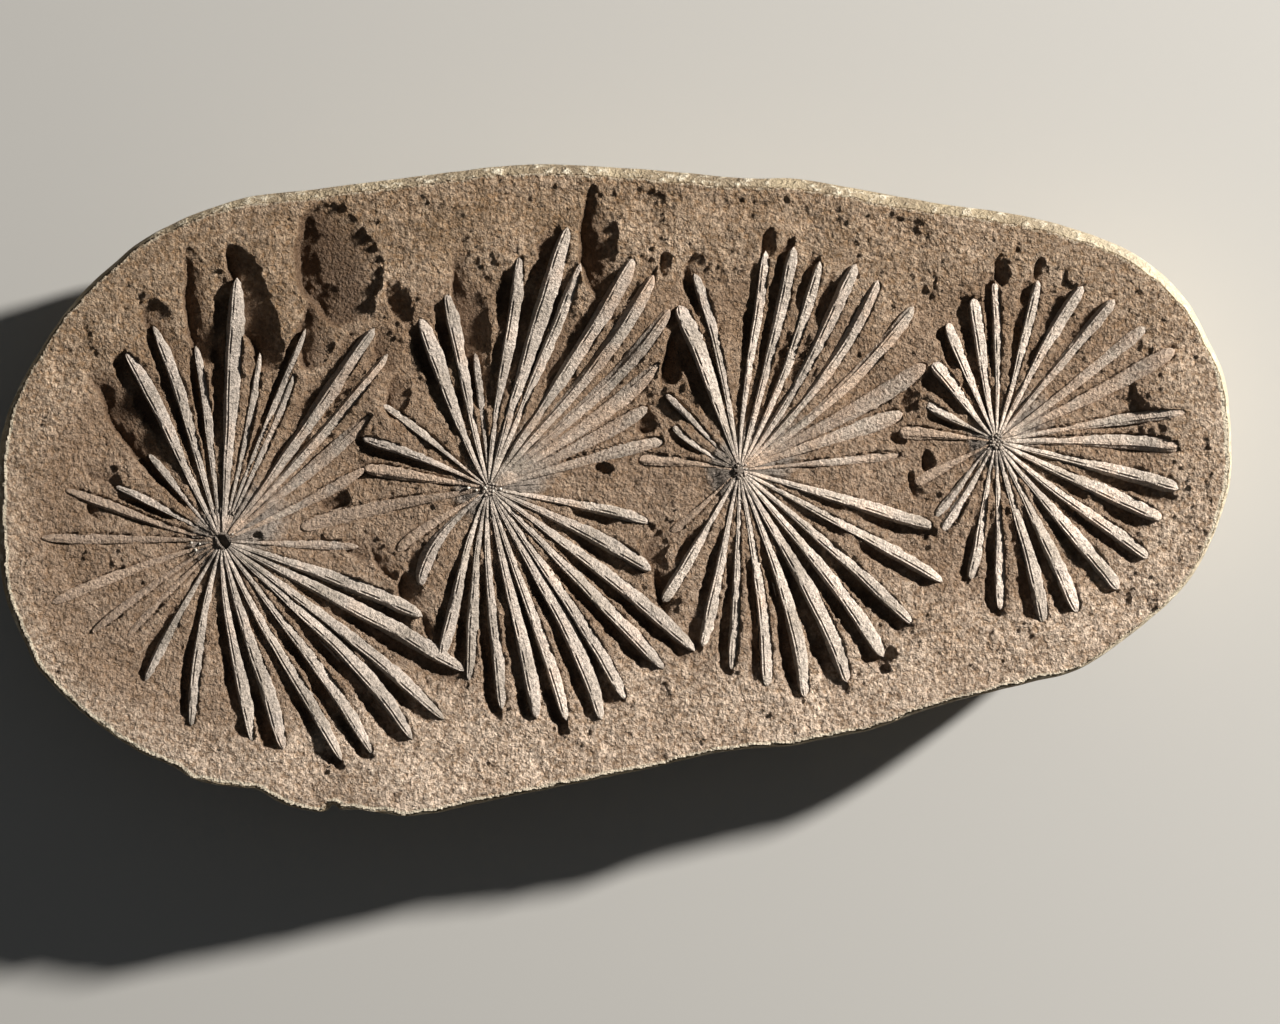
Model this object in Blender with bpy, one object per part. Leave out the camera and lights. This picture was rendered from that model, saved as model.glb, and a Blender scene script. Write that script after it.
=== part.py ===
"""Fossil horsetail plate: half of a split siltstone nodule with four whorls of leaves on its face.

Metres, +Z up. The plate lies on its worn underside, the split face looks up, +X is its length and
the origin is under the middle of its bounding box. It is one stone, so it is one object: the leaf
ridges, the hollows beside them and the pits are all relief on the same closed body.
"""

import math
import random

import bmesh
import bpy
import numpy as np
from mathutils import Vector, noise
from mathutils.geometry import delaunay_2d_cdt

MM = 0.001

# Driving dimensions of the real plate
PLATE_LENGTH = 0.150
PLATE_THICKNESS = 0.0172
FACE_DISH = 1.7 * MM
BASIN_DEPTH = 0.7 * MM
COLLAR_HEIGHT = 0.45 * MM
WAVE_HEIGHT = 0.45 * MM
WAVE_SIZE = 14.0 * MM
LEAF_HEIGHT_TO_WIDTH = 0.31
HOLLOW_DEPTH = 1.0 * MM

# The dish ends this far from the plate's middle line, over the plate's length
DISH_HALF_WIDTH = 0.265

# A whorl's basin fades out between these shares of its leaves' reach, and its collar between
# these shares of the collar's radius
BASIN_FADE = (0.75, 1.1)
COLLAR_FADE = (0.5, 1.2)

# The photograph looks straight down on the face, so places on it are read off in its pixels
PHOTO_MIDDLE_PX = (614.25, 489.0)
PHOTO_LENGTH_PX = 1238.5
PX = PLATE_LENGTH / PHOTO_LENGTH_PX

# The plate's widest outline, clockwise from its left end
OUTLINE_PX = (
    (-5, 505), (-4, 465), (0, 429), (16, 388), (48, 334), (80, 292), (112, 262), (139, 240),
    (177, 219), (216, 204), (254, 193), (307, 187), (378, 178), (451, 169), (502, 163), (553, 161),
    (630, 165), (681, 169), (744, 175), (800, 176), (880, 190), (944, 201), (1007, 209.5),
    (1060, 221), (1119, 242), (1158, 266), (1189, 298), (1209, 335), (1227, 377), (1232.5, 424),
    (1233.5, 469), (1226, 507), (1203, 562), (1174, 600), (1124, 642), (1078, 671), (1030, 684),
    (965, 700), (916, 715), (872, 731), (820, 741), (792, 747), (723, 753), (643, 771),
    (574, 785), (519, 796), (464, 808), (437, 814), (401, 817), (361, 811), (341, 811),
    (332, 806), (322, 813), (284, 806), (257, 791), (241, 789), (200, 783), (168, 766),
    (138, 753), (107, 733), (76, 710), (38, 672), (23, 644), (5, 604), (-3, 560),
)

# The body's rings from the rim down: height over the plate's thickness, and scale of the outline
BODY_RINGS = ((0.78, 1.0), (0.50, 0.965), (0.23, 0.865), (0.06, 0.715), (0.0, 0.58))

# The lip that runs round the split face just inside its rim, as a scale of the rim
LIP_SCALE = 0.975

# How far the face's rim stands in from the widest outline, and how much more along the top side
# and less along the bottom side
RIM_INSET = 1.0 * MM
RIM_INSET_CHANGE = 0.75 * MM

# The shoulder under the rim: its share of the way from the outline to the rim, and its drop
SHOULDER_SHARE = 0.45
SHOULDER_DROP = 1.0 * MM

# The flank's bumps: their size and height, and how far the pattern moves on down the flank
BUMP_SIZE = 16.0 * MM
BUMP_HEIGHT = 2.0 * MM
BUMP_SHIFT = 30.0 * MM

# Half the length of the middle line that the rings close in on, over half the plate's length
SPINE_SHARE = 0.47

# The collar's flat top, over the collar's radius, and its corners
COLLAR_TOP = 0.55
COLLAR_CORNERS = 9

# Each whorl: its middle, the radius of the smooth collar there and the reach of most of its leaves
WHORLS_PX = {
    "first": ((222, 541), 26, 205),
    "second": ((489, 488), 28, 215),
    "third": ((740, 470), 28, 205),
    "fourth": ((997, 441), 26, 170),
}

# Each leaf: degrees counter-clockwise from the photograph's right near the collar, halfway and at
# the tip, then its length and width in photograph pixels and how far it stands up, from 0 to 1
LEAVES = {
    "first": (
        (24, 25, 27, 160, 12, 0.6), (38.5, 39, 40.5, 195, 16, 0.8), (46.5, 47, 48.6, 250, 14, 0.9),
        (52, 54, 54.5, 262, 18, 1.0), (67, 66, 66.8, 182, 8, 0.7), (72, 69.5, 68.6, 228, 8, 0.8),
        (78, 77.5, 78.8, 192, 8, 0.7), (86.5, 86.5, 86.8, 264, 21, 1.0),
        (99, 97, 97.8, 197, 11, 0.8), (108, 106, 107.8, 226, 14, 0.9),
        (119.5, 116, 117, 212, 16, 1.0), (134, 131, 130.5, 114, 9, 0.8),
        (152, 151.5, 153, 120, 10, 0.8), (168, 163.5, 162, 166, 11, 0.6),
        (178, 179, 179, 182, 11, 0.4), (196, 198, 200, 182, 12, 0.5), (210, 213, 215, 160, 10, 0.5),
        (223, 224, 225, 135, 9, 0.5), (238, 239.5, 241, 160, 12, 0.8),
        (253, 257.5, 260.5, 188, 14, 1.0), (270, 276.5, 278.6, 204, 15, 1.0),
        (281.5, 286, 286.5, 218, 18, 1.0), (292, 297.5, 298.6, 250, 15, 1.0),
        (305.5, 307, 305.2, 262, 15, 1.0), (316.5, 317.5, 313.8, 275, 18, 1.0),
        (323, 323, 321.2, 285, 16, 1.0), (333.5, 333, 331.8, 276, 20, 0.8),
        (342.5, 341.5, 339.3, 214, 19, 0.9), (357, 357.5, 357.5, 136, 10, 0.4),
    ),
    "second": (
        (16, 16, 15.2, 181, 15, 0.4), (24, 25, 27, 178, 16, 0.7), (32.5, 33, 36.3, 212, 18, 0.8),
        (41, 41, 44.7, 255, 19, 0.9), (48.8, 49, 52.3, 270, 20, 0.9),
        (57, 56.5, 57.8, 273, 20, 0.9), (68.5, 67.5, 67.9, 243, 14, 0.9),
        (75, 73.5, 73.2, 273, 21, 1.0), (87.5, 82.5, 82.6, 235, 15, 1.0),
        (95, 95.5, 96, 136, 8, 0.5), (105.5, 102.8, 102.4, 200, 15, 1.0),
        (118, 113, 112.2, 184, 18, 1.0), (141.5, 141, 142, 136, 9, 0.7),
        (154.5, 156.5, 158.5, 137, 12, 0.8), (171, 171, 171, 128, 14, 0.5),
        (190, 190, 192, 194, 18, 0.4), (213, 212, 214, 112, 12, 0.5),
        (222, 225.5, 234, 120, 18, 0.8), (247, 252.5, 254.2, 177, 15, 1.0),
        (257, 262, 264, 194, 14, 1.0), (266, 271.5, 273.3, 222, 14, 1.0),
        (279, 282, 281.7, 236, 17, 1.0), (286, 289, 288.4, 245, 15, 1.0),
        (297, 299, 295.9, 258, 18, 1.0), (304, 304.5, 302.9, 253, 16, 1.0),
        (313.5, 314.3, 314, 252, 17, 1.0), (324, 323.5, 321.6, 263, 18, 1.0),
        (336, 335.5, 333, 182, 18, 1.0), (349, 349.5, 347.8, 164, 14, 0.9),
    ),
    "third": (
        (5, 5, 5.5, 162, 10, 0.3), (19, 19, 19.2, 173, 18, 0.4), (28, 27.5, 29.5, 214, 20, 0.6),
        (35, 38.5, 43.2, 239, 17, 0.9), (44, 48.5, 53.8, 236, 17, 0.9),
        (53, 57.5, 60.6, 237, 17, 0.9), (63, 66, 69, 224, 14, 0.9),
        (75, 75.3, 76.4, 230, 15, 1.0), (88.5, 84, 83.3, 221, 12, 1.0),
        (99.5, 100.2, 103, 202, 13, 1.0), (108.5, 108.5, 110.3, 176, 21, 1.0),
        (134.5, 134, 134.3, 106, 8, 0.6), (153.5, 150.5, 147, 80, 9, 0.8),
        (172, 172.5, 174, 102, 13, 0.5), (223, 223.5, 222, 93, 9, 0.5),
        (240.5, 240.5, 239.8, 153, 15, 0.9), (257.5, 258.5, 258, 181, 14, 1.0),
        (269, 268.5, 267.7, 201, 13, 1.0), (279.5, 279.5, 277.2, 219, 16, 1.0),
        (290.5, 290, 286, 237, 17, 1.0), (298.5, 300, 296.8, 238, 20, 1.0),
        (309.5, 309.8, 307.6, 236, 17, 1.0), (319.5, 319.5, 318.3, 232, 15, 1.0),
        (332, 332.2, 331.2, 232, 15, 1.0), (344.5, 344, 343.6, 202, 17, 0.9),
    ),
    "fourth": (
        (10, 9.8, 8.6, 192, 13, 0.6), (24.5, 25.5, 27.2, 200, 18, 0.5),
        (34, 36.3, 37.5, 187, 15, 0.8), (51, 50.5, 50.3, 184, 15, 0.8),
        (63.5, 62.8, 61, 177, 15, 1.0), (73.8, 74.3, 75.6, 166, 13, 1.0),
        (88.7, 89.3, 90.8, 159, 12, 1.0), (102, 99.5, 99.3, 145, 15, 1.0),
        (113, 113, 112.5, 128, 13, 1.0), (131, 128.5, 129, 101, 17, 0.9),
        (152.5, 153, 152, 79, 12, 0.8), (174, 174, 175, 98, 14, 0.5),
        (207, 207, 207.4, 92, 12, 0.4), (227, 231, 231, 97, 10, 0.7),
        (240, 240, 239, 105, 13, 0.7), (257.5, 259.8, 259.2, 141, 13, 1.0),
        (271.5, 271.8, 271.2, 169, 13, 1.0), (283.5, 285.8, 284.4, 188, 17, 1.0),
        (295.5, 296.2, 295.4, 190, 17, 1.0), (306.5, 309.5, 309.3, 192, 17, 1.0),
        (317, 321.5, 322.3, 192, 16, 1.0), (333, 334.5, 334.8, 183, 19, 1.0),
        (345, 346, 345.3, 188, 18, 1.0), (360, 360, 358, 183, 17, 0.6),
    ),
}

# Where a leaf starts, over the collar's radius
LEAF_START = 1.1

# A leaf along its length, 0 at the collar and 1 at the tip: its share of full width and height
LEAF_SHARES = (0.0, 0.30, 0.58, 0.80, 0.94, 1.0)
LEAF_WIDTHS = (0.22, 0.66, 0.97, 1.00, 0.62, 0.0)
LEAF_HEIGHTS = (0.40, 0.82, 1.00, 1.00, 0.80, 0.40)

# The hollow on a leaf's shaded side: depth along the leaf, and across it from the leaf's edge
HOLLOW_SHARES = (0.20, 0.45, 0.80, 1.00, 1.10)
HOLLOW_DEPTHS = (0.0, 0.75, 1.0, 0.85, 0.0)
HOLLOW_ACROSS = (0.0, 0.22, 0.75)
HOLLOW_PROFILE = (0.55, 1.0, 0.0)
SHADED_SIDE = math.radians(207.0)
HOLLOW_SIDE = Vector((math.cos(SHADED_SIDE), math.sin(SHADED_SIDE)))

# Only a leaf that stands up this far, and faces the shaded side this squarely at this share of
# its length, has a hollow
HOLLOW_STANDING = 0.8
HOLLOW_FACING = 0.35
FACING_SHARE = 0.7

# How far a leaf's crest stands off its middle line towards the hollow, over half its width
CREST_OFFSET = 0.6

# How many loose corners the rough stone between the leaves has, and how uneven they are
ROUGH_SPACING = 6.5 * MM
ROUGH_HEIGHT = 0.28 * MM
ROUGH_SHIFT = 0.35
ROUGH_SEED = 11
ROUGH_BORDER_SCALE = 0.96

# Pits and breaks in the face: middle, half sizes along and across in pixels, turn in degrees and
# depth in millimetres
PITS = (
    ((313, 270), 54, 17, 92, 2.6), ((350, 282), 46, 15, 118, 1.9), ((364, 234), 20, 13, 30, 1.4),
    ((190, 290), 42, 6, 84, 1.3), ((234, 262), 22, 5, 80, 1.1), ((592, 233), 42, 8, 82, 1.5),
    ((463, 262), 30, 6, 90, 1.3), ((765, 238), 14, 6, 85, 1.1), ((689, 274), 20, 6, 70, 1.2),
    ((1000, 270), 16, 6, 88, 1.1), ((1036, 271), 11, 6, 80, 1.0), ((330, 500), 16, 9, 20, 1.2),
    ((405, 594), 22, 10, 100, 1.7), ((357, 550), 9, 12, 60, 1.2), ((672, 350), 26, 10, 70, 1.8),
    ((650, 423), 11, 9, 10, 1.5), ((600, 467), 8, 6, 0, 0.9), ((665, 590), 30, 8, 100, 1.5),
    ((906, 397), 14, 7, 65, 1.5), ((895, 436), 9, 7, 0, 1.2), ((924, 474), 18, 11, 95, 1.7),
    ((152, 385), 34, 8, 128, 1.1), ((108, 478), 26, 8, 150, 0.8), ((785, 655), 40, 9, 98, 1.5),
    ((225, 540), 9, 7, 0, 1.3), ((257, 536), 7, 4, 0, 0.7),
)

# The floor of a pit as a scale of its rim, the corners of the two, and the first corner's place
PIT_FLOOR = 0.5
PIT_CORNERS = 8
PIT_FLOOR_CORNERS = 5
PIT_FIRST_CORNER = 0.3

# Corners closer than this are one corner, and loose corners keep this far from a leaf's edge
SKETCH_MERGE = 0.03 * MM
ROUGH_CLEARANCE = 0.8 * MM

# A corner on a leaf's edge or ends may be this far off and still count as on the leaf
EDGE_TOLERANCE = 0.02 * MM
SHARE_TOLERANCE = 0.001

# Places are matched to this many digits of a metre
PLACE_DIGITS = 6

STONE_COLOUR = (0.40, 0.29, 0.20, 1.0)
STONE_ROUGHNESS = 0.88


def clear_scene():
    for thing in list(bpy.data.objects):
        bpy.data.objects.remove(thing, do_unlink=True)


def photo_to_plate(x_px, y_px):
    """A photograph pixel as a place on the plate, in metres."""
    return Vector(((x_px - PHOTO_MIDDLE_PX[0]) * PX, (PHOTO_MIDDLE_PX[1] - y_px) * PX, 0.0))


def smooth_step(start, end, value):
    share = min(1.0, max(0.0, (value - start) / (end - start)))
    return share * share * (3.0 - 2.0 * share)


def spine_point(point):
    """The place on the plate's middle line that the rings shrink towards."""
    return Vector((point.x * SPINE_SHARE, 0.0, 0.0))


def rim_inset(outward):
    """How far the split face's rim stands in from the widest outline: most along the top side."""
    return RIM_INSET + RIM_INSET_CHANGE * outward.y


def ground_height(x, y):
    """The split face's height without its leaves: a shallow dish, a basin at each whorl, waves."""
    across = math.hypot(x / (0.5 * PLATE_LENGTH), y / (DISH_HALF_WIDTH * PLATE_LENGTH))
    height = PLATE_THICKNESS - FACE_DISH * max(0.0, 1.0 - across ** 2)
    for middle_px, collar_px, reach_px in WHORLS_PX.values():
        middle = photo_to_plate(*middle_px)
        radius = math.hypot(x - middle.x, y - middle.y)
        height -= BASIN_DEPTH * (1.0 - smooth_step(*BASIN_FADE, radius / (reach_px * PX)))
        height += COLLAR_HEIGHT * (1.0 - smooth_step(*COLLAR_FADE, radius / (collar_px * PX)))
    return height + WAVE_HEIGHT * noise.noise(Vector((x, y, 0.0)) / WAVE_SIZE)


class Leaf:
    """One leaf of a whorl: its middle line runs out from the collar and may curve a little."""

    def __init__(self, middle, collar, row):
        near, halfway, tip, length_px, width_px, self.standing = row
        self.middle = middle
        self.start = LEAF_START * collar
        self.length = length_px * PX
        self.width = width_px * PX
        self.bend = np.polyfit((0.0, 0.5, 1.0), np.radians((near, halfway, tip)), 2)
        self.height = self.width * LEAF_HEIGHT_TO_WIDTH * self.standing
        out = self.turn(FACING_SHARE)
        facing = -math.sin(out) * HOLLOW_SIDE.x + math.cos(out) * HOLLOW_SIDE.y
        self.shaded_side = math.copysign(1.0, facing)
        self.crest = CREST_OFFSET * abs(facing)
        deep = self.standing >= HOLLOW_STANDING and abs(facing) > HOLLOW_FACING
        self.hollow = HOLLOW_DEPTH * abs(facing) if deep else 0.0

    def turn(self, share):
        return float(np.polyval(self.bend, share))

    def half_width(self, share):
        return 0.5 * self.width * float(np.interp(share, LEAF_SHARES, LEAF_WIDTHS))

    def place(self, share, sideways=0.0):
        """A place at a share of the length, so far sideways along the circle round the middle."""
        radius = self.start + (self.length - self.start) * share
        angle = self.turn(share) + sideways / radius
        return self.middle + Vector((math.cos(angle), math.sin(angle), 0.0)) * radius

    def relief(self, x, y):
        """Whether a place is on the leaf, and how far the leaf or its hollow moves the face."""
        away_x, away_y = x - self.middle.x, y - self.middle.y
        radius = math.hypot(away_x, away_y)
        share = (radius - self.start) / (self.length - self.start)
        if not -SHARE_TOLERANCE < share < HOLLOW_SHARES[-1]:
            return False, 0.0
        turned = math.atan2(away_y, away_x) - self.turn(share)
        sideways = math.remainder(turned, math.tau) * radius * self.shaded_side
        hollow = self.hollow * float(np.interp(share, HOLLOW_SHARES, HOLLOW_DEPTHS))
        half = self.half_width(share)
        beyond = abs(sideways) - half
        if share < 1.0 + SHARE_TOLERANCE and beyond < EDGE_TOLERANCE:
            crest = self.height * float(np.interp(share, LEAF_SHARES, LEAF_HEIGHTS))
            foot = -hollow * HOLLOW_PROFILE[0]
            across = (-half, self.crest * half, half)
            return True, float(np.interp(sideways, across, (0.0, crest, foot))) if half else crest
        if sideways > 0.0:
            reach = beyond / self.width
            return False, -hollow * float(np.interp(reach, HOLLOW_ACROSS, HOLLOW_PROFILE))
        return False, 0.0


def all_leaves():
    leaves = []
    for name, (middle_px, collar_px, _) in WHORLS_PX.items():
        middle = photo_to_plate(*middle_px)
        leaves += [Leaf(middle, collar_px * PX, row) for row in LEAVES[name]]
    return leaves


def pit_depth(x, y):
    """The deepest pit at a place on the face: steep walls and a flatter floor."""
    deepest = 0.0
    for middle_px, half_length, half_width, turn, depth in PITS:
        away = Vector((x, y, 0.0)) - photo_to_plate(*middle_px)
        angle = math.radians(turn)
        along = (away.x * math.cos(angle) + away.y * math.sin(angle)) / (half_length * PX)
        across = (away.y * math.cos(angle) - away.x * math.sin(angle)) / (half_width * PX)
        inward = (1.0 - math.hypot(along, across)) / (1.0 - PIT_FLOOR)
        deepest = max(deepest, depth * MM * min(1.0, max(0.0, inward)))
    return deepest


def face_height(x, y, leaves):
    """The split face's height with its leaves, their hollows and the pits."""
    found = [leaf.relief(x, y) for leaf in leaves]
    on_leaves = [change for on_leaf, change in found if on_leaf]
    if on_leaves:
        return ground_height(x, y) + max(on_leaves)
    hollow = min(change for _, change in found)
    return ground_height(x, y) + min(hollow, -pit_depth(x, y))


class Sketch:
    """Corners and creases drawn flat, to be filled with triangles."""

    def __init__(self, border):
        self.places = [Vector((place.x, place.y)) for place in border]
        self.border = list(range(len(border)))
        self.creases = []

    def add(self, places, closed=False):
        first = len(self.places)
        self.places += [Vector((place.x, place.y)) for place in places]
        last = len(self.places) - 1
        self.creases += [(number, number + 1) for number in range(first, last)]
        if closed:
            self.creases.append((last, first))

    def triangles(self):
        """The corners and triangles inside the border, with every crease kept as an edge."""
        filled = delaunay_2d_cdt(self.places, self.creases, [self.border], 1, SKETCH_MERGE)
        return filled[0], filled[2]


def draw_leaf(sketch, leaf):
    """A leaf's two edges, its crest and the floor and far side of its hollow."""
    inner = LEAF_SHARES[:-1]
    tip = leaf.place(1.0)
    edges = [[leaf.place(share, side * leaf.half_width(share)) for share in inner] for side in (1, -1)]
    sketch.add(edges[0] + [tip] + edges[1][::-1], closed=True)
    sideways = leaf.shaded_side * leaf.crest
    sketch.add([leaf.place(share, sideways * leaf.half_width(share)) for share in inner] + [tip])
    if leaf.hollow:
        for reach in HOLLOW_ACROSS[1:]:
            line = []
            for share in HOLLOW_SHARES[1:4]:
                sideways = leaf.half_width(share) + reach * leaf.width
                line.append(leaf.place(share, leaf.shaded_side * sideways))
            sketch.add(line)
    sketch.add([leaf.place(HOLLOW_SHARES[-1])])


def draw_pit(sketch, pit):
    """A pit's rim and floor as two closed lines."""
    middle_px, half_length, half_width, turn, _ = pit
    middle = photo_to_plate(*middle_px)
    angle = math.radians(turn)
    along = Vector((math.cos(angle), math.sin(angle), 0.0)) * half_length * PX
    across = Vector((-math.sin(angle), math.cos(angle), 0.0)) * half_width * PX
    for scale, corners in ((1.0, PIT_CORNERS), (PIT_FLOOR, PIT_FLOOR_CORNERS)):
        steps = [math.tau * (number + PIT_FIRST_CORNER) / corners for number in range(corners)]
        sketch.add([middle + (along * math.cos(step) + across * math.sin(step)) * scale
                    for step in steps], closed=True)


def draw_rough_stone(sketch, leaves):
    """Loose corners on an uneven grid, wherever no leaf is near."""
    chance = random.Random(ROUGH_SEED)
    columns = int(0.5 * PLATE_LENGTH / ROUGH_SPACING)
    rough = {}
    for column in range(-columns, columns + 1):
        for row in range(-columns, columns + 1):
            x = (column + chance.uniform(-ROUGH_SHIFT, ROUGH_SHIFT)) * ROUGH_SPACING
            y = (row + chance.uniform(-ROUGH_SHIFT, ROUGH_SHIFT)) * ROUGH_SPACING
            uneven = chance.uniform(-1.0, 1.0) * ROUGH_HEIGHT
            inside = inside_border(x, y, sketch, ROUGH_BORDER_SCALE)
            if inside and not any(near_leaf(leaf, x, y) for leaf in leaves):
                sketch.add([Vector((x, y))])
                rough[Vector((x, y)).to_tuple(PLACE_DIGITS)] = uneven
    return rough


def near_leaf(leaf, x, y):
    radius = math.hypot(x - leaf.middle.x, y - leaf.middle.y)
    share = min(1.0, max(0.0, (radius - leaf.start) / (leaf.length - leaf.start)))
    away = leaf.place(share) - Vector((x, y, 0.0))
    return math.hypot(away.x, away.y) < 0.5 * leaf.width + ROUGH_CLEARANCE


def inside_border(x, y, sketch, scale):
    """Whether a place is inside the face's border shrunk by a scale."""
    inside = False
    corners = [sketch.places[number] * scale for number in sketch.border]
    for first, second in zip(corners, corners[1:] + corners[:1]):
        if (first.y > y) != (second.y > y):
            crossing = first.x + (y - first.y) / (second.y - first.y) * (second.x - first.x)
            inside ^= x < crossing
    return inside


def next_ring(bm, ring, places):
    """Extrude a closed ring of vertices and put the new ring's vertices at the given places."""
    edges = [bm.edges.get(pair) for pair in zip(ring, ring[1:] + ring[:1])]
    made = bmesh.ops.extrude_edge_only(bm, edges=edges)["geom"]
    copies = {part.co.to_tuple(): part for part in made if isinstance(part, bmesh.types.BMVert)}
    new_ring = [copies[vert.co.to_tuple()] for vert in ring]
    for vert, place in zip(new_ring, places):
        vert.co = place
    return new_ring


def body_ring(outline, height_share, scale):
    """The outline at a height below the rim, scaled towards the middle line and a little uneven."""
    ring = []
    for point in outline:
        middle = spine_point(point)
        bump = noise.noise(Vector((point.x, point.y, BUMP_SHIFT * height_share)) / BUMP_SIZE)
        uneven = bump * BUMP_HEIGHT * (1.0 - scale)
        place = middle + (point - middle) * scale + (point - middle).normalized() * uneven
        place.z = height_share * PLATE_THICKNESS
        ring.append(place)
    return ring


def build_plate(collection):
    """The whole stone: the split face with its relief, then rings over the rim to the underside."""
    outline = [photo_to_plate(*point) for point in OUTLINE_PX]
    rim = []
    for index, point in enumerate(outline):
        along = outline[(index + 1) % len(outline)] - outline[index - 1]
        outward = Vector((-along.y, along.x, 0.0)).normalized()
        rim.append(point - outward * rim_inset(outward))
    shoulder = [point.lerp(edge, SHOULDER_SHARE) for point, edge in zip(outline, rim)]
    lip = [spine_point(point).lerp(point, LIP_SCALE) for point in rim]

    leaves = all_leaves()
    sketch = Sketch(lip)
    for leaf in leaves:
        draw_leaf(sketch, leaf)
    for pit in PITS:
        draw_pit(sketch, pit)
    for middle_px, collar_px, _ in WHORLS_PX.values():
        middle = photo_to_plate(*middle_px)
        steps = [math.tau * number / COLLAR_CORNERS for number in range(COLLAR_CORNERS)]
        radius = COLLAR_TOP * collar_px * PX
        sketch.add([middle + Vector((math.cos(step), math.sin(step), 0.0)) * radius
                    for step in steps], closed=True)
    rough = draw_rough_stone(sketch, leaves)
    corners, triangles = sketch.triangles()
    places = []
    for corner in corners:
        height = face_height(corner.x, corner.y, leaves) + rough.get(corner.to_tuple(PLACE_DIGITS), 0.0)
        places.append((corner.x, corner.y, height))
    face = bpy.data.meshes.new("fossil_plate")
    face.from_pydata(places, [], triangles)

    bm = bmesh.new()
    bm.from_mesh(face)
    border = [vert for vert in bm.verts if vert.is_boundary]
    ring = [min(border, key=lambda vert: (vert.co.xy - place.xy).length) for place in lip]
    for places, drop in ((rim, 0.0), (shoulder, SHOULDER_DROP)):
        for place in places:
            place.z = ground_height(place.x, place.y) - drop
    rings = [rim, shoulder] + [body_ring(outline, *level) for level in BODY_RINGS]
    for places in rings:
        ring = next_ring(bm, ring, places)
    bm.faces.new(ring)
    bmesh.ops.triangulate(bm, faces=bm.faces[:])
    bmesh.ops.recalc_face_normals(bm, faces=bm.faces[:])
    bm.to_mesh(face)
    bm.free()
    plate = bpy.data.objects.new("fossil_plate", face)
    collection.objects.link(plate)
    return plate


def add_stone_material(thing):
    material = bpy.data.materials.new("brown_siltstone")
    material.use_nodes = True
    shader = material.node_tree.nodes["Principled BSDF"]
    shader.inputs["Base Color"].default_value = STONE_COLOUR
    shader.inputs["Roughness"].default_value = STONE_ROUGHNESS
    shader.inputs["Metallic"].default_value = 0.0
    thing.data.materials.append(material)


def main():
    clear_scene()
    plate_parts = bpy.data.collections.new("fossil_horsetail_plate")
    bpy.context.scene.collection.children.link(plate_parts)
    plate = build_plate(plate_parts)
    add_stone_material(plate)


main()
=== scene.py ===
# %% [markdown]
# Fossil horsetail plate, half of a split nodule of siltstone.
# Long ago whorls of narrow leaves lay on mud, and a nodule hardened round them. Split with a
# hammer, it shows four whorls in relief on a granular brown face, with a paler weathered rind.
# We first load the measured model. It gives the frame in metres that all we add must keep to.

# %% Load the measured model
import math
import random

import bmesh
import bpy
import numpy as np
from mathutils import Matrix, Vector, kdtree, noise


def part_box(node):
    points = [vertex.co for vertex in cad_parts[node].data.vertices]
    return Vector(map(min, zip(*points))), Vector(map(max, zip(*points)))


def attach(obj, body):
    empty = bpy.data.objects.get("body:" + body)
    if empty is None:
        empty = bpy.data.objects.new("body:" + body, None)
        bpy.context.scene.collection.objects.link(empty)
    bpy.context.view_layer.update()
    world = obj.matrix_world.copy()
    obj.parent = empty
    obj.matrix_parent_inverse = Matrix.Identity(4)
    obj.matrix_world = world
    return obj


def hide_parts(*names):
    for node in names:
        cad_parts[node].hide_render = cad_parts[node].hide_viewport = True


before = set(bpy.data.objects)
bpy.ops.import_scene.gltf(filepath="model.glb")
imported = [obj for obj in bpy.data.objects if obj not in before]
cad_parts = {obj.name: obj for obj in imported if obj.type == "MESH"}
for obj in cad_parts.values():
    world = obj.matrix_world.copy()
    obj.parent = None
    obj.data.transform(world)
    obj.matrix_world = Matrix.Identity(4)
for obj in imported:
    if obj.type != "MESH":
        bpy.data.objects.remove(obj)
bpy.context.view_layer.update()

PLATE_LOW, PLATE_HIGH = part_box("fossil_plate")
MM = 0.001

# %% [markdown]
# The photograph looks straight down on the face, so a place on it is a place on the plate.
# We keep every traced place in the photograph's own pixels and turn it into metres with one
# function: that way a traced number can be checked against the picture at any time.

# %% Places in the photograph become places on the plate
PLATE_LENGTH = 0.150
PLATE_THICKNESS = 0.0172
PHOTO_MIDDLE_PX = (614.25, 489.0)
PHOTO_LENGTH_PX = 1238.5
PX = PLATE_LENGTH / PHOTO_LENGTH_PX


def on_plate(x_px, y_px):
    return Vector(((x_px - PHOTO_MIDDLE_PX[0]) * PX, (PHOTO_MIDDLE_PX[1] - y_px) * PX, 0.0))


def eased(start, end, value):
    share = np.clip((value - start) / (end - start), 0.0, 1.0)
    return share * share * (3.0 - 2.0 * share)


def waves(x, y, size, seed=0.0):
    """Smooth noise with bumps of about a given size, between -1 and 1."""
    return np.array([noise.noise((a, b, seed)) for a, b in zip(x / size, y / size)])


def waves_along(along, size, seed):
    """The same noise along a line."""
    return waves(along, 0.0 * along, size, seed)


def lumps(x, y, size, seed=0.0):
    """Round grains of about a given size: 1 in the middle of a grain, 0.35 in between."""
    near = [noise.voronoi((a, b, seed))[0][0] for a, b in zip(x / size, y / size)]
    return np.maximum(1.0 - 1.6 * np.array(near) ** 2, 0.35)


print("one photograph pixel in mm:", round(PX / MM, 4))

# %% [markdown]
# The face isn't flat. It is dished like a shallow tray, each whorl lies in a basin of its own,
# and a small collar stands where the leaves met the stem. All later pieces sit on this ground,
# so it is one function of the place.

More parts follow.
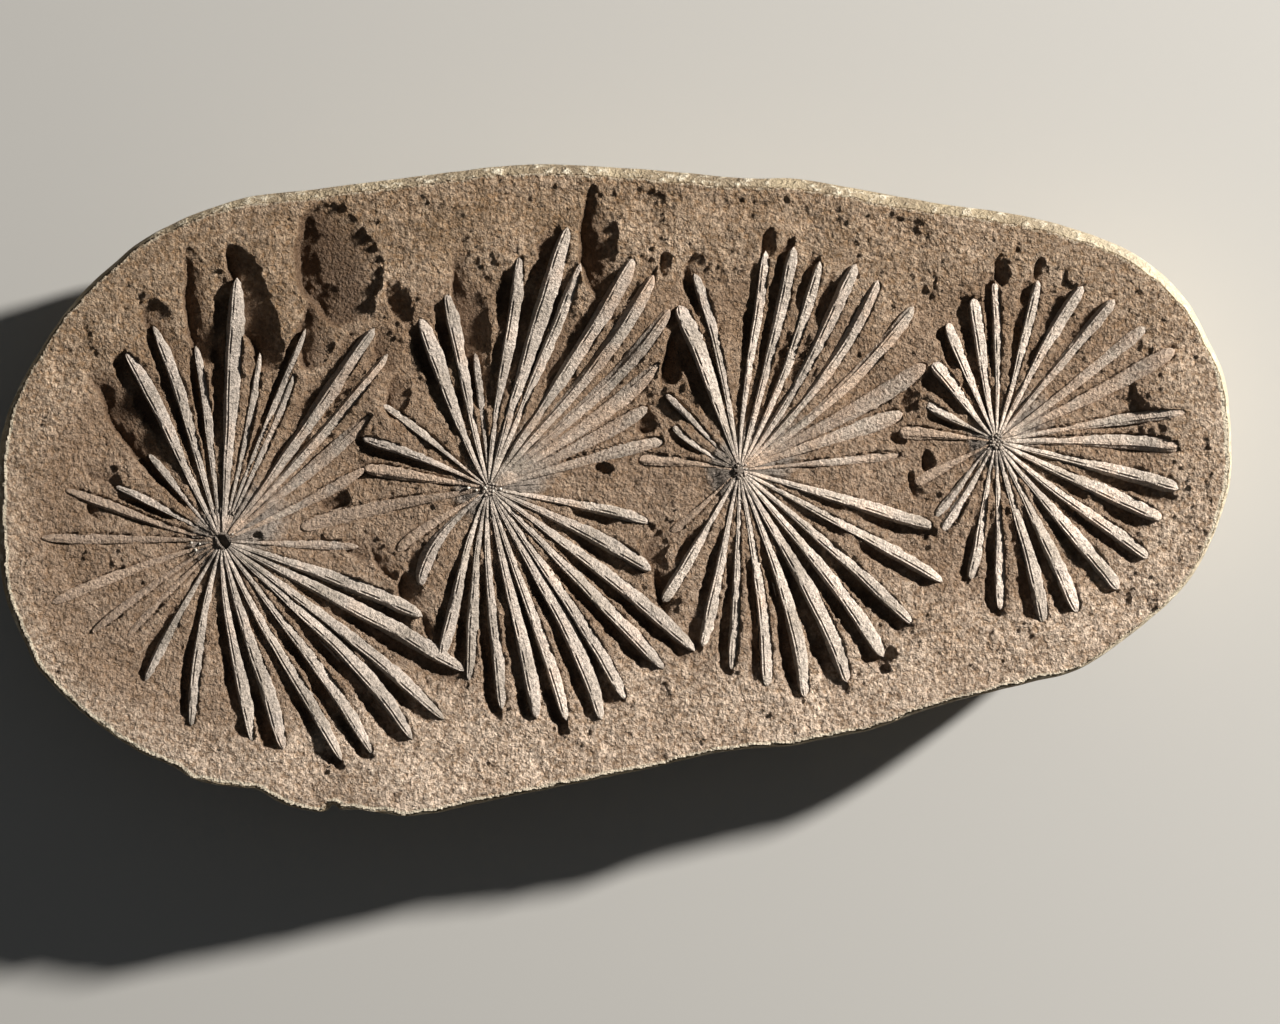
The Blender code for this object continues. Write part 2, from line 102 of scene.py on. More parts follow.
# %% The ground: dish, basins and collars
# For each whorl: its middle, the radius of its collar and how far its leaves reach.
WHORLS_PX = {
    "first": ((222, 541), 26, 205),
    "second": ((489, 488), 28, 215),
    "third": ((740, 470), 28, 205),
    "fourth": ((997, 441), 26, 170),
}
FACE_DISH = 1.7 * MM
DISH_WIDTH_SHARE = 0.265
BASIN_DEPTH = 0.7 * MM
COLLAR_HEIGHT = 0.45 * MM
WAVE_HEIGHT = 0.45 * MM
WAVE_SIZE = 14.0 * MM


def ground(x, y):
    across = np.hypot(x / (0.5 * PLATE_LENGTH), y / (DISH_WIDTH_SHARE * PLATE_LENGTH))
    height = PLATE_THICKNESS - FACE_DISH * np.maximum(0.0, 1.0 - across ** 2)
    for middle_px, collar_px, reach_px in WHORLS_PX.values():
        middle = on_plate(*middle_px)
        radius = np.hypot(x - middle.x, y - middle.y)
        height -= BASIN_DEPTH * (1.0 - eased(0.75, 1.1, radius / (reach_px * PX)))
        height += COLLAR_HEIGHT * (1.0 - eased(0.5, 1.2, radius / (collar_px * PX)))
    return height + WAVE_HEIGHT * waves(x, y, WAVE_SIZE)


print("face at the plate's middle in mm:", round(ground(np.zeros(1), np.zeros(1))[0] / MM, 2))

# %% [markdown]
# Each leaf is its own, so every one is traced: its direction near the collar, halfway and at the
# tip, in degrees from the photograph's right, its length and width in pixels, and how far it
# stands up, where 1.0 is a leaf in full relief. By hand one would draw a line over the picture
# for each leaf. A short row of numbers does the same, and each can be mended on its own.

# %% The traced leaves
LEAVES = {
    "first": (
        (24, 25, 27, 160, 12, 0.6), (38.5, 39, 40.5, 195, 16, 0.8), (46.5, 47, 48.6, 250, 14, 0.9),
        (52, 54, 54.5, 262, 18, 1.0), (67, 66, 66.8, 182, 8, 0.7), (72, 69.5, 68.6, 228, 8, 0.8),
        (78, 77.5, 78.8, 192, 8, 0.7), (86.5, 86.5, 86.8, 264, 21, 1.0),
        (99, 97, 97.8, 197, 11, 0.8), (108, 106, 107.8, 226, 14, 0.9),
        (119.5, 116, 117, 212, 16, 1.0), (134, 131, 130.5, 114, 9, 0.8),
        (152, 151.5, 153, 120, 10, 0.8), (168, 163.5, 162, 166, 11, 0.6),
        (178, 179, 179, 182, 11, 0.4), (196, 198, 200, 182, 12, 0.5), (210, 213, 215, 160, 10, 0.5),
        (223, 224, 225, 135, 9, 0.5), (238, 239.5, 241, 160, 12, 0.8),
        (253, 257.5, 260.5, 188, 14, 1.0), (270, 276.5, 278.6, 204, 15, 1.0),
        (281.5, 286, 286.5, 218, 18, 1.0), (292, 297.5, 298.6, 250, 15, 1.0),
        (305.5, 307, 305.2, 262, 15, 1.0), (316.5, 317.5, 313.8, 275, 18, 1.0),
        (323, 323, 321.2, 285, 16, 1.0), (333.5, 333, 331.8, 276, 20, 0.8),
        (342.5, 341.5, 339.3, 214, 19, 0.9), (357, 357.5, 357.5, 136, 10, 0.4),
    ),
    "second": (
        (16, 16, 15.2, 181, 15, 0.4), (24, 25, 27, 178, 16, 0.7), (32.5, 33, 36.3, 212, 18, 0.8),
        (41, 41, 44.7, 255, 19, 0.9), (48.8, 49, 52.3, 270, 20, 0.9),
        (57, 56.5, 57.8, 273, 20, 0.9), (68.5, 67.5, 67.9, 243, 14, 0.9),
        (75, 73.5, 73.2, 273, 21, 1.0), (87.5, 82.5, 82.6, 235, 15, 1.0),
        (95, 95.5, 96, 136, 8, 0.5), (105.5, 102.8, 102.4, 200, 15, 1.0),
        (118, 113, 112.2, 184, 18, 1.0), (141.5, 141, 142, 136, 9, 0.7),
        (154.5, 156.5, 158.5, 137, 12, 0.8), (171, 171, 171, 128, 14, 0.5),
        (190, 190, 192, 194, 18, 0.4), (213, 212, 214, 112, 12, 0.5),
        (222, 225.5, 234, 120, 18, 0.8), (247, 252.5, 254.2, 177, 15, 1.0),
        (257, 262, 264, 194, 14, 1.0), (266, 271.5, 273.3, 222, 14, 1.0),
        (279, 282, 281.7, 236, 17, 1.0), (286, 289, 288.4, 245, 15, 1.0),
        (297, 299, 295.9, 258, 18, 1.0), (304, 304.5, 302.9, 253, 16, 1.0),
        (313.5, 314.3, 314, 252, 17, 1.0), (324, 323.5, 321.6, 263, 18, 1.0),
        (336, 335.5, 333, 182, 18, 1.0), (349, 349.5, 347.8, 164, 14, 0.9),
    ),
    "third": (
        (5, 5, 5.5, 162, 10, 0.3), (19, 19, 19.2, 173, 18, 0.4), (28, 27.5, 29.5, 214, 20, 0.6),
        (35, 38.5, 43.2, 239, 17, 0.9), (44, 48.5, 53.8, 236, 17, 0.9),
        (53, 57.5, 60.6, 237, 17, 0.9), (63, 66, 69, 224, 14, 0.9),
        (75, 75.3, 76.4, 230, 15, 1.0), (88.5, 84, 83.3, 221, 12, 1.0),
        (99.5, 100.2, 103, 202, 13, 1.0), (108.5, 108.5, 110.3, 176, 21, 1.0),
        (134.5, 134, 134.3, 106, 8, 0.6), (153.5, 150.5, 147, 80, 9, 0.8),
        (172, 172.5, 174, 102, 13, 0.5), (223, 223.5, 222, 93, 9, 0.5),
        (240.5, 240.5, 239.8, 153, 15, 0.9), (257.5, 258.5, 258, 181, 14, 1.0),
        (269, 268.5, 267.7, 201, 13, 1.0), (279.5, 279.5, 277.2, 219, 16, 1.0),
        (290.5, 290, 286, 237, 17, 1.0), (298.5, 300, 296.8, 238, 20, 1.0),
        (309.5, 309.8, 307.6, 236, 17, 1.0), (319.5, 319.5, 318.3, 232, 15, 1.0),
        (332, 332.2, 331.2, 232, 15, 1.0), (344.5, 344, 343.6, 202, 17, 0.9),
    ),
    "fourth": (
        (10, 9.8, 8.6, 192, 13, 0.6), (24.5, 25.5, 27.2, 200, 18, 0.5),
        (34, 36.3, 37.5, 187, 15, 0.8), (51, 50.5, 50.3, 184, 15, 0.8),
        (63.5, 62.8, 61, 177, 15, 1.0), (73.8, 74.3, 75.6, 166, 13, 1.0),
        (88.7, 89.3, 90.8, 159, 12, 1.0), (102, 99.5, 99.3, 145, 15, 1.0),
        (113, 113, 112.5, 128, 13, 1.0), (131, 128.5, 129, 101, 17, 0.9),
        (152.5, 153, 152, 79, 12, 0.8), (174, 174, 175, 98, 14, 0.5),
        (207, 207, 207.4, 92, 12, 0.4), (227, 231, 231, 97, 10, 0.7),
        (240, 240, 239, 105, 13, 0.7), (257.5, 259.8, 259.2, 141, 13, 1.0),
        (271.5, 271.8, 271.2, 169, 13, 1.0), (283.5, 285.8, 284.4, 188, 17, 1.0),
        (295.5, 296.2, 295.4, 190, 17, 1.0), (306.5, 309.5, 309.3, 192, 17, 1.0),
        (317, 321.5, 322.3, 192, 16, 1.0), (333, 334.5, 334.8, 183, 19, 1.0),
        (345, 346, 345.3, 188, 18, 1.0), (360, 360, 358, 183, 17, 0.6),
    ),
}
print("leaves traced:", sum(len(rows) for rows in LEAVES.values()))

# %% [markdown]
# The shape of a leaf. It is narrow at the stem, widest past its middle, and ends in a point or a
# blunt tip. One row of shares says where along the leaf we measure, and the rows below it say how
# wide and how tall it is there. The fossil leaves curve a little, so the middle line is a
# parabola through the three traced directions.
# The light in the photograph comes in low from the right, so a leaf's left side and the hollow
# beside it are dark. The leaf rises gently from its lit edge and drops steeply on the dark side.

# %% The shape of a leaf and of its hollow
BLADE_SHARES = (-0.2, 0.0, 0.15, 0.30, 0.45, 0.58, 0.70, 0.82, 0.90, 0.95, 0.98, 1.0)
BLADE_WIDTHS = (0.20, 0.32, 0.48, 0.66, 0.84, 0.97, 1.0, 0.95, 0.80, 0.60, 0.38, 0.0)
BLADE_HEIGHTS = (0.10, 0.40, 0.60, 0.80, 0.92, 1.0, 1.0, 1.0, 0.94, 0.82, 0.62, 0.10)
BLUNT_WIDTHS = (0.18, 0.30, 0.44, 0.60, 0.76, 0.88, 0.97, 1.0, 0.94, 0.80, 0.58, 0.0)
BLUNTNESS = {"first": 0.15, "second": 0.5, "third": 0.8, "fourth": 0.9}
WIDTH_KEPT = 0.92
LEAF_HEIGHT_TO_WIDTH = 0.31
INNER_PX = {"first": 9, "second": 4, "third": 4, "fourth": 4}
HOLLOW_DEPTH = 1.2 * MM
HOLLOW_STRENGTH = {"first": 1.0, "second": 1.0, "third": 0.9, "fourth": 0.72}
HOLLOW_SHARES = (0.16, 0.42, 0.75, 0.95, 1.0)
HOLLOW_DEPTHS = (0.0, 0.8, 1.0, 0.9, 0.0)
HOLLOW_ACROSS = (0.0, 0.40, 0.58, 0.74)
HOLLOW_PROFILE = (0.65, 1.0, 0.85, 0.0)
SECTOR = 0.115
# A leaf is free of the stem from 1.1 collar radii on, and one that points at the light still
# stands. The crest shifts to the dark side, and only a leaf in good relief has a deep hollow.
FREE_FROM_COLLAR = 1.1
LEAST_STANDING = 0.7
CREST_SHIFT = 0.42
DEEP_FROM_STANDING = 0.8
DEEP_FROM_FACING = 0.35
LIGHT_TURN = math.radians(27.0)
DARK_SIDE = (-math.cos(LIGHT_TURN), -math.sin(LIGHT_TURN))


class Leaf:
    """One traced leaf: its middle line runs out from the collar and may curve a little."""

    def __init__(self, middle, collar, inner, row, bluntness, hollow_strength):
        near, halfway, tip, length_px, width_px, self.standing = row
        self.middle = middle
        self.start = FREE_FROM_COLLAR * collar
        self.length = length_px * PX
        self.first = (inner - self.start) / (self.length - self.start)
        self.width = WIDTH_KEPT * width_px * PX
        self.widths = ((1.0 - bluntness) * np.array(BLADE_WIDTHS)
                       + bluntness * np.array(BLUNT_WIDTHS))
        self.bend = np.polyfit((0.0, 0.5, 1.0), np.radians((near, halfway, tip)), 2)
        out = float(np.polyval(self.bend, 0.7))
        # A leaf that points along the light shows no dark side: it stands, but looks worn.
        along_light = max(0.0, math.cos(out - LIGHT_TURN)) ** 2
        self.standing = max(self.standing, LEAST_STANDING * along_light)
        self.worn = 0.5 * along_light ** 2
        if self.standing < LEAST_STANDING and math.cos(out - LIGHT_TURN) < -0.6:
            self.worn = 1.0
        self.height = self.width * LEAF_HEIGHT_TO_WIDTH * self.standing
        facing = -math.sin(out) * DARK_SIDE[0] + math.cos(out) * DARK_SIDE[1]
        self.dark_side = math.copysign(1.0, facing)
        self.crest = CREST_SHIFT * abs(facing)
        deep = self.standing >= DEEP_FROM_STANDING and abs(facing) > DEEP_FROM_FACING
        self.hollow = hollow_strength * HOLLOW_DEPTH * abs(facing) if deep else 0.0
        own = random.Random(repr(row))
        self.hollow_reach = own.uniform(0.85, 1.35)
        self.hollow_seed = own.uniform(0.0, 90.0)
        self.hollow_end = own.uniform(0.94, 1.10)

    def half_width(self, share):
        """Half the width: near the middle, no more than the leaf's sector of the circle."""
        radius = self.start + (self.length - self.start) * share
        traced = 0.5 * self.width * np.interp(share, BLADE_SHARES, self.widths)
        return np.minimum(traced, SECTOR * np.maximum(radius, 0.0))

    def spot(self, share, sideways):
        """The place at a share of the length, so far sideways, dark side positive."""
        radius = self.start + (self.length - self.start) * share
        angle = np.polyval(self.bend, share) + sideways * self.dark_side / radius
        return self.middle.x + np.cos(angle) * radius, self.middle.y + np.sin(angle) * radius

    def where(self, x, y):
        """The share of the length and the way sideways of places on the plate."""
        away_x, away_y = x - self.middle.x, y - self.middle.y
        radius = np.hypot(away_x, away_y)
        share = (radius - self.start) / (self.length - self.start)
        turned = np.arctan2(away_y, away_x) - np.polyval(self.bend, share)
        turned = (turned + math.pi) % math.tau - math.pi
        return share, turned * radius * self.dark_side


leaves = {}
for name, (middle_px, collar_px, _) in WHORLS_PX.items():
    leaves[name] = [Leaf(on_plate(*middle_px), collar_px * PX, INNER_PX[name] * PX, row,
                         BLUNTNESS[name], HOLLOW_STRENGTH[name]) for row in LEAVES[name]]
longest = max(leaf.length for rows in leaves.values() for leaf in rows)
print("longest leaf in mm:", round(longest / MM, 1))

# %% [markdown]
# Breaks in the face: places where a flake or a lost leaf has come away. Seen across, a break is
# like the tooth of a saw: a steep wall on the side away from the light, a floor that is deepest
# at the foot of that wall, and from there a long rise back to the face. By hand one would press
# each break in with a clay brush. We trace each as an oval, with its middle in the photograph's
# pixels, half its length and half its width, its turn in degrees and its depth in millimetres.

# %% The traced breaks
PITS = (
    ((338, 262), 70, 44, 100, 3.5), ((316, 330), 44, 19, 80, 2.2),
    ((200, 305), 66, 19, 97, 1.9), ((242, 268), 30, 18, 100, 1.7), ((262, 322), 60, 21, 107, 2.0),
    ((164, 330), 40, 17, 118, 1.2), ((134, 424), 80, 20, 123, 1.9), ((598, 240), 62, 20, 92, 2.4),
    ((471, 322), 92, 19, 97, 2.0), ((556, 345), 50, 13, 62, 1.5),
    ((770, 240), 18, 9, 85, 1.1), ((694, 272), 26, 12, 78, 1.2), ((664, 262), 14, 8, 95, 0.8),
    ((1003, 268), 20, 9, 88, 1.1), ((1042, 270), 14, 9, 80, 1.0), ((336, 498), 22, 11, 24, 1.4),
    ((412, 592), 26, 14, 100, 1.8), ((360, 548), 12, 14, 60, 1.3), ((384, 560), 30, 12, 128, 1.0),
    ((678, 352), 36, 15, 74, 1.9), ((652, 423), 14, 12, 10, 1.6), ((606, 467), 13, 7, 0, 0.9),
    ((668, 590), 38, 14, 100, 1.6), ((656, 548), 30, 13, 60, 1.2), ((912, 397), 18, 10, 65, 1.0),
    ((900, 436), 12, 7, 0, 0.9), ((930, 462), 14, 7, 95, 1.0), ((916, 485), 18, 7, 110, 0.8),
    ((152, 385), 36, 10, 128, 1.1), ((108, 478), 28, 9, 150, 0.9), ((96, 510), 16, 9, 160, 0.9),
    ((793, 655), 44, 12, 98, 1.5), ((225, 540), 9, 7, 0, 1.3), ((257, 536), 7, 4, 0, 0.8),
    ((890, 655), 10, 8, 60, 0.9), ((430, 625), 22, 10, 110, 1.3), ((400, 300), 30, 14, 112, 0.8),
    ((398, 395), 26, 12, 70, 1.3), ((388, 350), 26, 14, 100, 1.2),
)
# The share of the way in over which the edge of a break drops, and how straight its floor is.
PIT_WALL = 0.15
PIT_RISE_SHARE = 0.7


def pit_depth(x, y):
    """The deepest break at each place."""
    deepest = np.zeros_like(x)
    for middle_px, half_length, half_width, turn, depth in PITS:
        middle = on_plate(*middle_px)
        turned = math.radians(turn)
        cosine, sine = math.cos(turned), math.sin(turned)
        along = ((x - middle.x) * cosine + (y - middle.y) * sine) / (half_length * PX)
        across = ((y - middle.y) * cosine - (x - middle.x) * sine) / (half_width * PX)
        inward = np.clip(1.0 - np.hypot(along, across), 0.0, 1.0)
        lit = along * math.cos(LIGHT_TURN - turned) + across * math.sin(LIGHT_TURN - turned)
        ends = 1.0 - np.clip(np.abs(along), 0.0, 1.0) ** 3
        chord = np.maximum(np.sqrt(np.clip(1.0 - along ** 2, 0.0, 1.0)), 0.05)
        rise = np.clip(0.5 + 0.5 * lit / chord, 0.0, 1.0)
        drop = 1.0 - rise
        floor = (PIT_RISE_SHARE * drop + (1.0 - PIT_RISE_SHARE) * drop ** 4) * ends
        wall = np.clip(inward / PIT_WALL, 0.0, 1.0)
        deepest = np.maximum(deepest, depth * MM * wall * floor)
    return deepest


print("breaks traced:", len(PITS))

# %% [markdown]
# The outline. A ring of vertices is laid on the traced outer edge of the stone, with a smooth
# line through the traced corners. The rim of the split face stands in from that edge: far in
# along the top, where the flank shows as a pale band, and hardly at all along the bottom.

# %% The outline and the rim
OUTLINE_PX = (
    (-5, 505), (-4, 465), (0, 429), (16, 388), (48, 334), (80, 292), (112, 262), (139, 240),
    (177, 219), (216, 204), (254, 193), (307, 187), (378, 178), (451, 169), (502, 163), (553, 161),
    (630, 165), (681, 169), (744, 175), (800, 176), (880, 190), (944, 201), (1007, 209.5),
    (1060, 221), (1119, 242), (1158, 266), (1189, 298), (1209, 335), (1227, 377), (1232.5, 424),
    (1233.5, 469), (1226, 507), (1203, 562), (1174, 600), (1124, 642), (1078, 671), (1030, 684),
    (965, 700), (916, 715), (872, 731), (820, 741), (792, 747), (723, 753), (643, 771),
    (574, 785), (519, 796), (464, 808), (437, 814), (401, 817), (361, 811), (341, 811),
    (332, 806), (322, 813), (284, 806), (257, 791), (241, 789), (200, 783), (168, 766),
    (138, 753), (107, 733), (76, 710), (38, 672), (23, 644), (5, 604), (-3, 560),
)
STEPS_PER_CORNER = 7


def smooth_outline():
    """A closed smooth line through the traced corners, as x and y."""
    corners = [on_plate(*point) for point in OUTLINE_PX]
    line = []
    for index in range(len(corners)):
        a, b, c, d = (corners[(index + step) % len(corners)] for step in (-1, 0, 1, 2))
        for step in range(STEPS_PER_CORNER):
            t = step / STEPS_PER_CORNER
            line.append(0.5 * (2.0 * b + (c - a) * t + (2.0 * a - 5.0 * b + 4.0 * c - d) * t ** 2
                               + (3.0 * b - a - 3.0 * c + d) * t ** 3))
    x = np.clip([point.x for point in line], PLATE_LOW.x, PLATE_HIGH.x)
    y = np.clip([point.y for point in line], PLATE_LOW.y, PLATE_HIGH.y)
    return x, y


edge_x, edge_y = smooth_outline()
along_x = np.roll(edge_x, -1) - np.roll(edge_x, 1)
along_y = np.roll(edge_y, -1) - np.roll(edge_y, 1)
out_x, out_y = -along_y / np.hypot(along_x, along_y), along_x / np.hypot(along_x, along_y)
upper_left = eased(0.15, -0.6, out_x) * eased(0.1, 0.6, out_y)
rim_inset = (0.95 + 0.60 * out_y - 0.35 * eased(0.7, 1.0, out_x) - 0.75 * upper_left
             + 0.30 * waves(edge_x, edge_y, 2.2 * MM, 2.0)) * MM
rim_inset = np.maximum(rim_inset, 0.13 * MM)
rim_x, rim_y = edge_x - out_x * rim_inset, edge_y - out_y * rim_inset
print("outline vertices:", len(edge_x))

# %% [markdown]
# Some work is the same for every piece: choose one object, select some of its vertices, read and
# write their places, turn the faces outwards. By hand these are clicks, and in code each is a
# small function. An operator acts on all that is selected, so everything is deselected first.
# One of them extrudes a ring of vertices and lays the new ring on a line: an attribute numbers
# the vertices round the outline and travels with each extrude, so each one is known by number.

# %% Helpers for work in edit mode
def only(piece):
    """Leave edit mode, deselect everything and make one piece the chosen one."""
    if bpy.context.mode != "OBJECT":
        bpy.ops.object.mode_set(mode="OBJECT")
    bpy.ops.object.select_all(action="DESELECT")
    piece.select_set(True)
    bpy.context.view_layer.objects.active = piece


def choose_vertices(piece, mask):
    """Select vertices by a mask and go into edit mode in vertex mode."""
    only(piece)
    mesh = piece.data
    mesh.edges.foreach_set("select", np.zeros(len(mesh.edges), dtype=bool))
    mesh.polygons.foreach_set("select", np.zeros(len(mesh.polygons), dtype=bool))
    mesh.vertices.foreach_set("select", mask)
    bpy.ops.object.mode_set(mode="EDIT")
    bpy.ops.mesh.select_mode(type="VERT")


def vertex_places(piece):
    places = np.empty(3 * len(piece.data.vertices))
    piece.data.vertices.foreach_get("co", places)
    return places.reshape(-1, 3)


def put_vertices(piece, places):
    piece.data.vertices.foreach_set("co", np.asarray(places, dtype=float).ravel())
    piece.data.update()


def pull_ring(piece, x, y, z):
    """Extrude the selected ring once and put the new ring on the given line."""
    bpy.ops.mesh.extrude_edges_move()
    work = bmesh.from_edit_mesh(piece.data)
    number = work.verts.layers.int["round"]
    for vertex in work.verts:
        if vertex.select:
            at = vertex[number]
            vertex.co = (x[at], y[at], z[at])
    bmesh.update_edit_mesh(piece.data)


def face_outwards(piece):
    """Make all faces of a closed piece point outwards."""
    only(piece)
    bpy.ops.object.mode_set(mode="EDIT")
    bpy.ops.mesh.select_all(action="SELECT")
    bpy.ops.mesh.normals_make_consistent(inside=False)
    bpy.ops.object.mode_set(mode="OBJECT")


def triangles(piece):
    piece.data.calc_loop_triangles()
    return len(piece.data.loop_triangles)


# %% [markdown]
# The body of the nodule is a stack of rings: over the rim, down the flank and under the stone,
# each drawn a little further in. The first ring stands just inside the rim, below the split face,
# so that no gap shows. At the right end and at the lower left a thin lip of rind stands a little
# proud of the face: in the photograph it is the bright line round the stone. Two sorts of smooth
# noise, one broad and one fine, keep the back from looking like a turned bowl.

# %% The rings of the nodule's body
FIRST_RING_INSET = 0.99 * MM
FLANK_STEPS = ((0.93, 0.26), (0.80, 0.42), (0.62, 0.72), (0.45, 1.05), (0.22, 1.9))
LEVEL_HEIGHTS = (0.78, 0.50, 0.23, 0.06, 0.0)
LEVEL_SCALES = (1.0, 0.965, 0.865, 0.715, 0.58)
LEVEL_STEPS = 17
PATCH_SCALES = (0.50, 0.40, 0.28, 0.15)
SPINE_SHARE = 0.47


def softened(levels):
    """The levels in finer steps, with the corners between them rounded."""
    fine = np.interp(np.linspace(0, len(levels) - 1, LEVEL_STEPS), range(len(levels)), levels)
    return np.convolve(np.pad(fine, 1, mode="edge"), (0.25, 0.5, 0.25), mode="valid")


def ring_at(scale, height):
    """The outline, drawn in towards the stone's spine, at one height."""
    drawn_in = edge_x * (SPINE_SHARE + (1.0 - SPINE_SHARE) * scale)
    return drawn_in, edge_y * scale, np.full(len(edge_x), height)


rim_ground = ground(rim_x, rim_y)
at_right = eased(0.86, 1.0, out_x)
at_lower_left = eased(0.2, 0.9, -0.7 * out_x - 0.7 * out_y)
ragged = waves(rim_x, rim_y, 2.5 * MM, 3.0)
lip = np.maximum(0.0, 0.30 * at_right + 0.24 * at_lower_left + 0.06 * ragged) * MM
inner_x, inner_y = rim_x - out_x * FIRST_RING_INSET, rim_y - out_y * FIRST_RING_INSET
rings = [
    (inner_x, inner_y, rim_ground - 0.9 * MM),
    (rim_x - out_x * 0.2 * MM, rim_y - out_y * 0.2 * MM, rim_ground + lip - 0.30 * MM),
    (rim_x + out_x * 0.05 * MM, rim_y + out_y * 0.05 * MM, rim_ground + lip - 0.20 * MM),
]
for share, drop in FLANK_STEPS:
    rings.append((edge_x + (rim_x - edge_x) * share, edge_y + (rim_y - edge_y) * share,
                  rim_ground - drop * MM))
level_shares = softened(LEVEL_HEIGHTS)
level_shares[-1] = 0.0
for scale, height_share in zip(softened(LEVEL_SCALES), level_shares):
    bumpy = waves(edge_x * scale, edge_y * scale, 16.0 * MM, 1.7 * height_share)
    fine = waves(edge_x * scale, edge_y * scale, 3.0 * MM, 5.0 + 9.0 * height_share)
    grow = scale - 0.010 * (1.0 + bumpy) * (1.0 - height_share) - 0.0016 * (1.0 + fine)
    rings.append(ring_at(grow, height_share * PLATE_THICKNESS))
for scale in PATCH_SCALES:
    rings.append(ring_at(scale, 0.0))
print("rings:", len(rings), "highest lip in mm:", round(lip.max() / MM, 2))

# %% [markdown]
# Now the body is modelled as by hand: add a circle, lay its vertices on the first line and fill
# it, which makes a floor inside the stone. Then comes one extrude for each ring, and at the end
# the hole in the middle of the worn patch is filled.

# %% The nodule's body, ring by ring
FLOOR_HEIGHT = 9.5 * MM
HIGHEST_RING = PLATE_HIGH.z - 0.04 * MM

bpy.ops.object.select_all(action="DESELECT")
bpy.ops.mesh.primitive_circle_add(vertices=len(edge_x), radius=0.05, location=(0, 0, 0))
body = bpy.context.object
body.name = "nodule_body"
numbers = body.data.attributes.new("round", "INT", "POINT")
numbers.data.foreach_set("value", np.arange(len(edge_x), dtype=np.int32))

put_vertices(body, np.column_stack((inner_x, inner_y, np.full(len(edge_x), FLOOR_HEIGHT))))
choose_vertices(body, np.ones(len(edge_x), dtype=bool))
bpy.ops.mesh.edge_face_add()
bpy.ops.mesh.select_all(action="SELECT")
bpy.ops.mesh.select_mode(type="EDGE")
for x, y, z in rings:
    pull_ring(body, x, y, np.minimum(z, HIGHEST_RING))
bpy.ops.mesh.edge_face_add()
face_outwards(body)
print("body faces:", len(body.data.polygons))

# %% [markdown]
# The split face has to know where the rim is: the face is cut off there, and close to it the
# stone turns over into the lip. A k-d tree holds points all round the rim and finds the nearest
# of them very quickly, even for hundreds of thousands of vertices.

# %% How far a place is from the rim
rim_tree = kdtree.KDTree(len(rim_x) * 4)
for index in range(len(rim_x)):
    here = Vector((rim_x[index], rim_y[index], 0.0))
    after = Vector((rim_x[index - len(rim_x) + 1], rim_y[index - len(rim_x) + 1], 0.0))
    for quarter in range(4):
        rim_tree.insert(here.lerp(after, quarter / 4), index)
rim_tree.balance()
print("points round the rim:", 4 * len(rim_x))


def near_rim(x, y):
    """The number of the nearest outline vertex and the distance from the rim."""
    found = [rim_tree.find((a, b, 0.0)) for a, b in zip(x, y)]
    return np.array([one[1] for one in found]), np.array([one[2] for one in found])


def inside_line(x, y, line_x, line_y):
    inside = np.zeros(len(x), dtype=bool)
    for ax, ay, bx, by in zip(line_x, line_y, np.roll(line_x, -1), np.roll(line_y, -1)):
        if ay != by:
            crossing = ax + (y - ay) / (by - ay) * (bx - ax)
            inside ^= ((ay > y) != (by > y)) & (x < crossing)
    return inside


# %% [markdown]
# The split face is a fine grid, about five vertices to a millimetre, cut to the rim. One mesh of
# that fineness would be too heavy, so we add four, one for each whorl. They meet at straight
# seams, where both have their vertices on the very same line. Everywhere else the vertices
# stray a little, or the rows of the grid would show in the low light.

# %% Four fine grids, cut to the rim
GRID_STEP = 0.19 * MM
SEAMS_PX = (355, 614, 868)
seams = [on_plate(seam_px, 0.0).x for seam_px in SEAMS_PX]
chance = np.random.default_rng(5)


def face_sheet(name, left, right):
    """A fine grid from one seam to the next. Its vertices stray a little, but not at a seam."""
    columns = round((right - left) / GRID_STEP)
    rows = round((PLATE_HIGH.y - PLATE_LOW.y) / GRID_STEP)
    bpy.ops.object.select_all(action="DESELECT")
    bpy.ops.mesh.primitive_grid_add(x_subdivisions=columns, y_subdivisions=rows, size=1.0)
    piece = bpy.context.object
    piece.name = name
    places = vertex_places(piece)
    stray = chance.uniform(-0.25, 0.25, (len(places), 2)) * GRID_STEP
    stray[np.abs(places[:, 0]) > 0.4999] = 0.0
    x = left + (places[:, 0] + 0.5) * (right - left) + stray[:, 0]
    y = PLATE_LOW.y + (places[:, 1] + 0.5) * (PLATE_HIGH.y - PLATE_LOW.y) + stray[:, 1]
    put_vertices(piece, np.column_stack((x, y, np.zeros(len(x)))))
    choose_vertices(piece, ~inside_line(x, y, rim_x, rim_y))
    bpy.ops.mesh.delete(type="VERT")
    bpy.ops.object.mode_set(mode="OBJECT")
    print(name, len(piece.data.vertices), "vertices")
    return piece


sheets = [face_sheet(f"face_at_{name}_whorl", left, right) for name, left, right in
          zip(WHORLS_PX, (PLATE_LOW.x, *seams), (*seams, PLATE_HIGH.x))]

# %% [markdown]
# What the leaves did to the stone. When the nodule split, each leaf that stands up kept a deep
# hollow along its dark side, and silt banked up softly against its lit side. Under a leaf the
# face is kept low, so that the leaf's own mesh shows and the stone's grain doesn't poke through.

# %% Hollows beside the leaves, and beds under them
UNDER_LEAF = 0.30 * MM
EDGE_GROOVE = 0.25 * MM
BANK_HEIGHT = 0.22 * MM
BANK_WIDTH = 1.1 * MM
EDGE_GROOVE_WIDTH = 0.16 * MM


